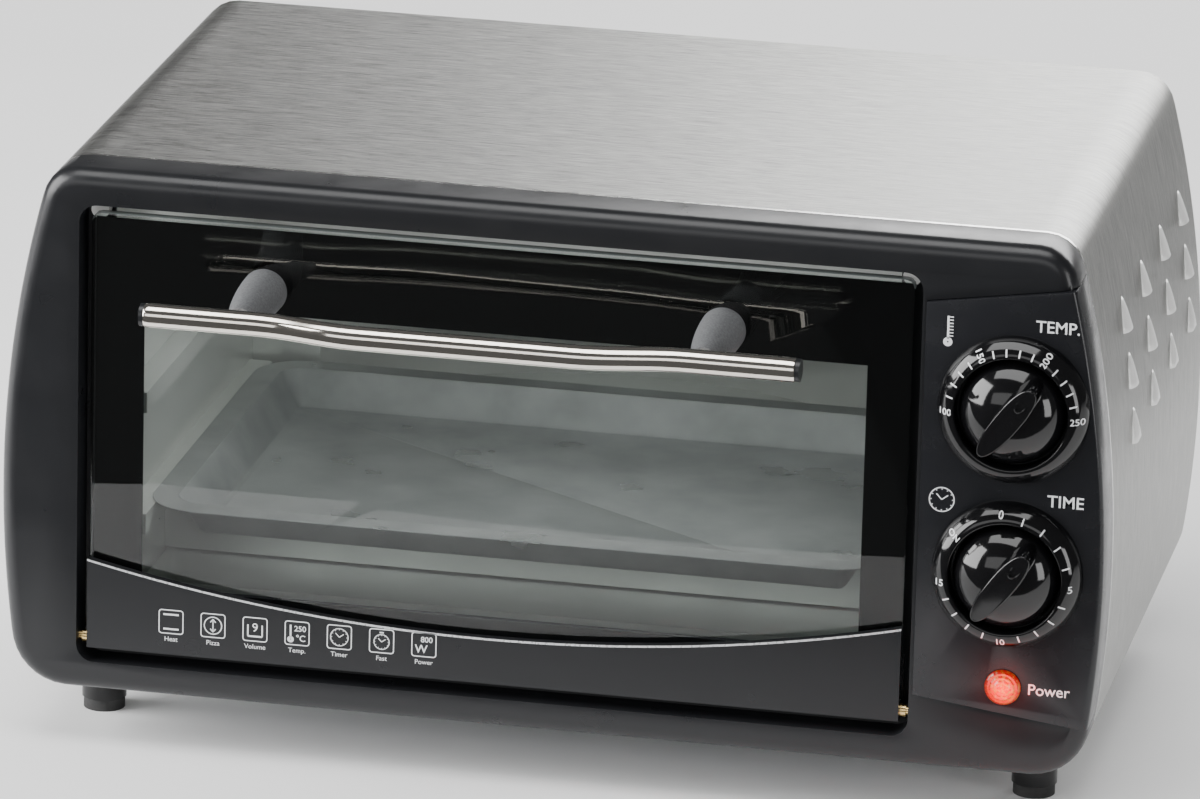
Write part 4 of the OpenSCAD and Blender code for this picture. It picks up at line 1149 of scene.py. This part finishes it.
# %% [markdown]
# The baking tray is a shallow pressing: a flat rim with round corners, sloping
# walls and a floor. It starts as a plane with rounded corners, is inset for the
# rim, drawn down and in step by step for the walls, and given the sheet's
# thickness. Its edges are rounded a little, which gives the rim a bright line.

# %% Baking tray
tray_low, tray_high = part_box("baking_tray")
tray_mid = (tray_low + tray_high) / 2
TRAY_EDGE = 0.3 * MM
rest()
bpy.ops.mesh.primitive_plane_add(size=1, location=(tray_mid.x, tray_mid.y, tray_high.z - 0.1 * MM))
tray = bpy.context.object
bpy.ops.object.transform_apply(location=True, rotation=True, scale=True)
for v in tray.data.vertices:
    v.co.x = tray_low.x + TRAY_EDGE if v.co.x < tray_mid.x else tray_high.x - TRAY_EDGE
    v.co.y = tray_low.y + TRAY_EDGE if v.co.y < tray_mid.y else tray_high.y - TRAY_EDGE
tray = named("baking_pan")
pick(tray, "VERT", lambda v: True)
bpy.ops.mesh.bevel(offset=18 * MM, segments=10, affect="VERTICES")
pick(tray, "FACE", lambda f: True)
bpy.ops.mesh.inset(thickness=8.6 * MM)
for drop, inward in ((0.5, 0.5), (10.4, 6.4), (0.8, 0.9), (0.3, 1.6)):
    bpy.ops.mesh.inset(thickness=inward * MM, depth=-drop * MM)
rest()
print("tray points", len(tray.data.vertices))
modify(tray, "SOLIDIFY", thickness=0.6 * MM, offset=-1)
soften(tray, 0.28 * MM, 3, 60)
dress(tray, tray_metal, "tray", "tray_metal", "baking_tray", angle=30)

# %% [markdown]
# The table is a large pale plane in two parts. The part in front is not seen in
# mirrors, so the door's glass reflects the dark room and not a white table. A
# dark flag behind the right side tones that side down in the same way; the
# camera does not see it. Soft area lamps light the oven: a wide one behind and
# above for the brushed top, one overhead, a large one at the left for the
# highlight on the knobs, a long one in front for the tube, a small one at the
# right and a small fill under the cavity's roof. A red point is the lamp's glow.

# %% Table and lights
rest()
TABLE, TABLE_EDGE = 12, cad_low.y - 0.10
bpy.ops.mesh.primitive_plane_add(size=TABLE, location=(0, TABLE_EDGE + TABLE / 2, 0))
table = named("table_top")
rest()
bpy.ops.mesh.primitive_plane_add(size=TABLE, location=(0, TABLE_EDGE - TABLE / 2, 0))
apron = named("table_front")
apron.visible_glossy = False
white_table = finish("pale_table", (0.93, 0.93, 0.93), 0.7)
feed(white_table, "Roughness", ranged(white_table, noise(white_table, 8, 2), 0.62, 0.78))
for part in (table, apron):
    part.data.materials.append(white_table)


rest()
bpy.ops.mesh.primitive_plane_add(size=1, location=(0.78, 0.72, 2 * MM))
flag = named("dark_flag")
flag.scale = (1.15, 1.6, 1)
bpy.ops.object.transform_apply(location=False, rotation=False, scale=True)
flag.visible_camera = False
flag.visible_shadow = False
flag.data.materials.append(finish("flag_cloth", (0.06, 0.06, 0.06), 0.9))


def softbox(name, place, target, size, power):
    """A rectangular lamp at a place, facing a target."""
    rest()
    bpy.ops.object.light_add(type="AREA", location=place)
    lamp = bpy.context.object
    lamp.name = name
    lamp.data.shape = "RECTANGLE"
    lamp.data.size, lamp.data.size_y = size
    lamp.data.energy = power
    lamp.rotation_euler = (Vector(target) - Vector(place)).to_track_quat("-Z", "Y").to_euler()
    return lamp


softbox("back_light", (0.7, 2.4, 1.25), (0, 0, 0.1), (2.4, 1.3), 78)
softbox("top_light", (-0.1, -0.45, 1.6), (0, 0, 0.1), (1.5, 0.9), 22)
softbox("left_light", (-1.5, -0.62, 0.72), (0, 0, 0.1), (1.4, 1.2), 66)
softbox("front_light", (-0.2, -2.4, 0.85), (0, 0, 0.1), (2.6, 0.9), 13)
softbox("right_light", (1.6, -0.8, 0.25), (0.1, 0, 0.1), (0.45, 0.8), 7)
cavity_fill = softbox("cavity_fill", (door_mid, depth(70), cavity_low.z - 4 * MM),
                      (door_mid, depth(120), 0.05), (0.2, 0.09), 0.8)
cavity_fill.visible_camera = False
cavity_fill.visible_glossy = False
rest()
bpy.ops.object.light_add(type="POINT", location=(lamp_at.x, panel_low.y - 8 * MM, lamp_at.z))
lamp_glow = bpy.context.object
lamp_glow.data.energy = 0.03
lamp_glow.visible_glossy = False
lamp_glow.data.color = (1.0, 0.03, 0.01)
lamp_glow.data.shadow_soft_size = 0.004

world = bpy.data.worlds.new("studio")
world.use_nodes = True
world.node_tree.nodes["Background"].inputs["Color"].default_value = (1, 1, 1, 1)
world.node_tree.nodes["Background"].inputs["Strength"].default_value = 0.10
bpy.context.scene.world = world
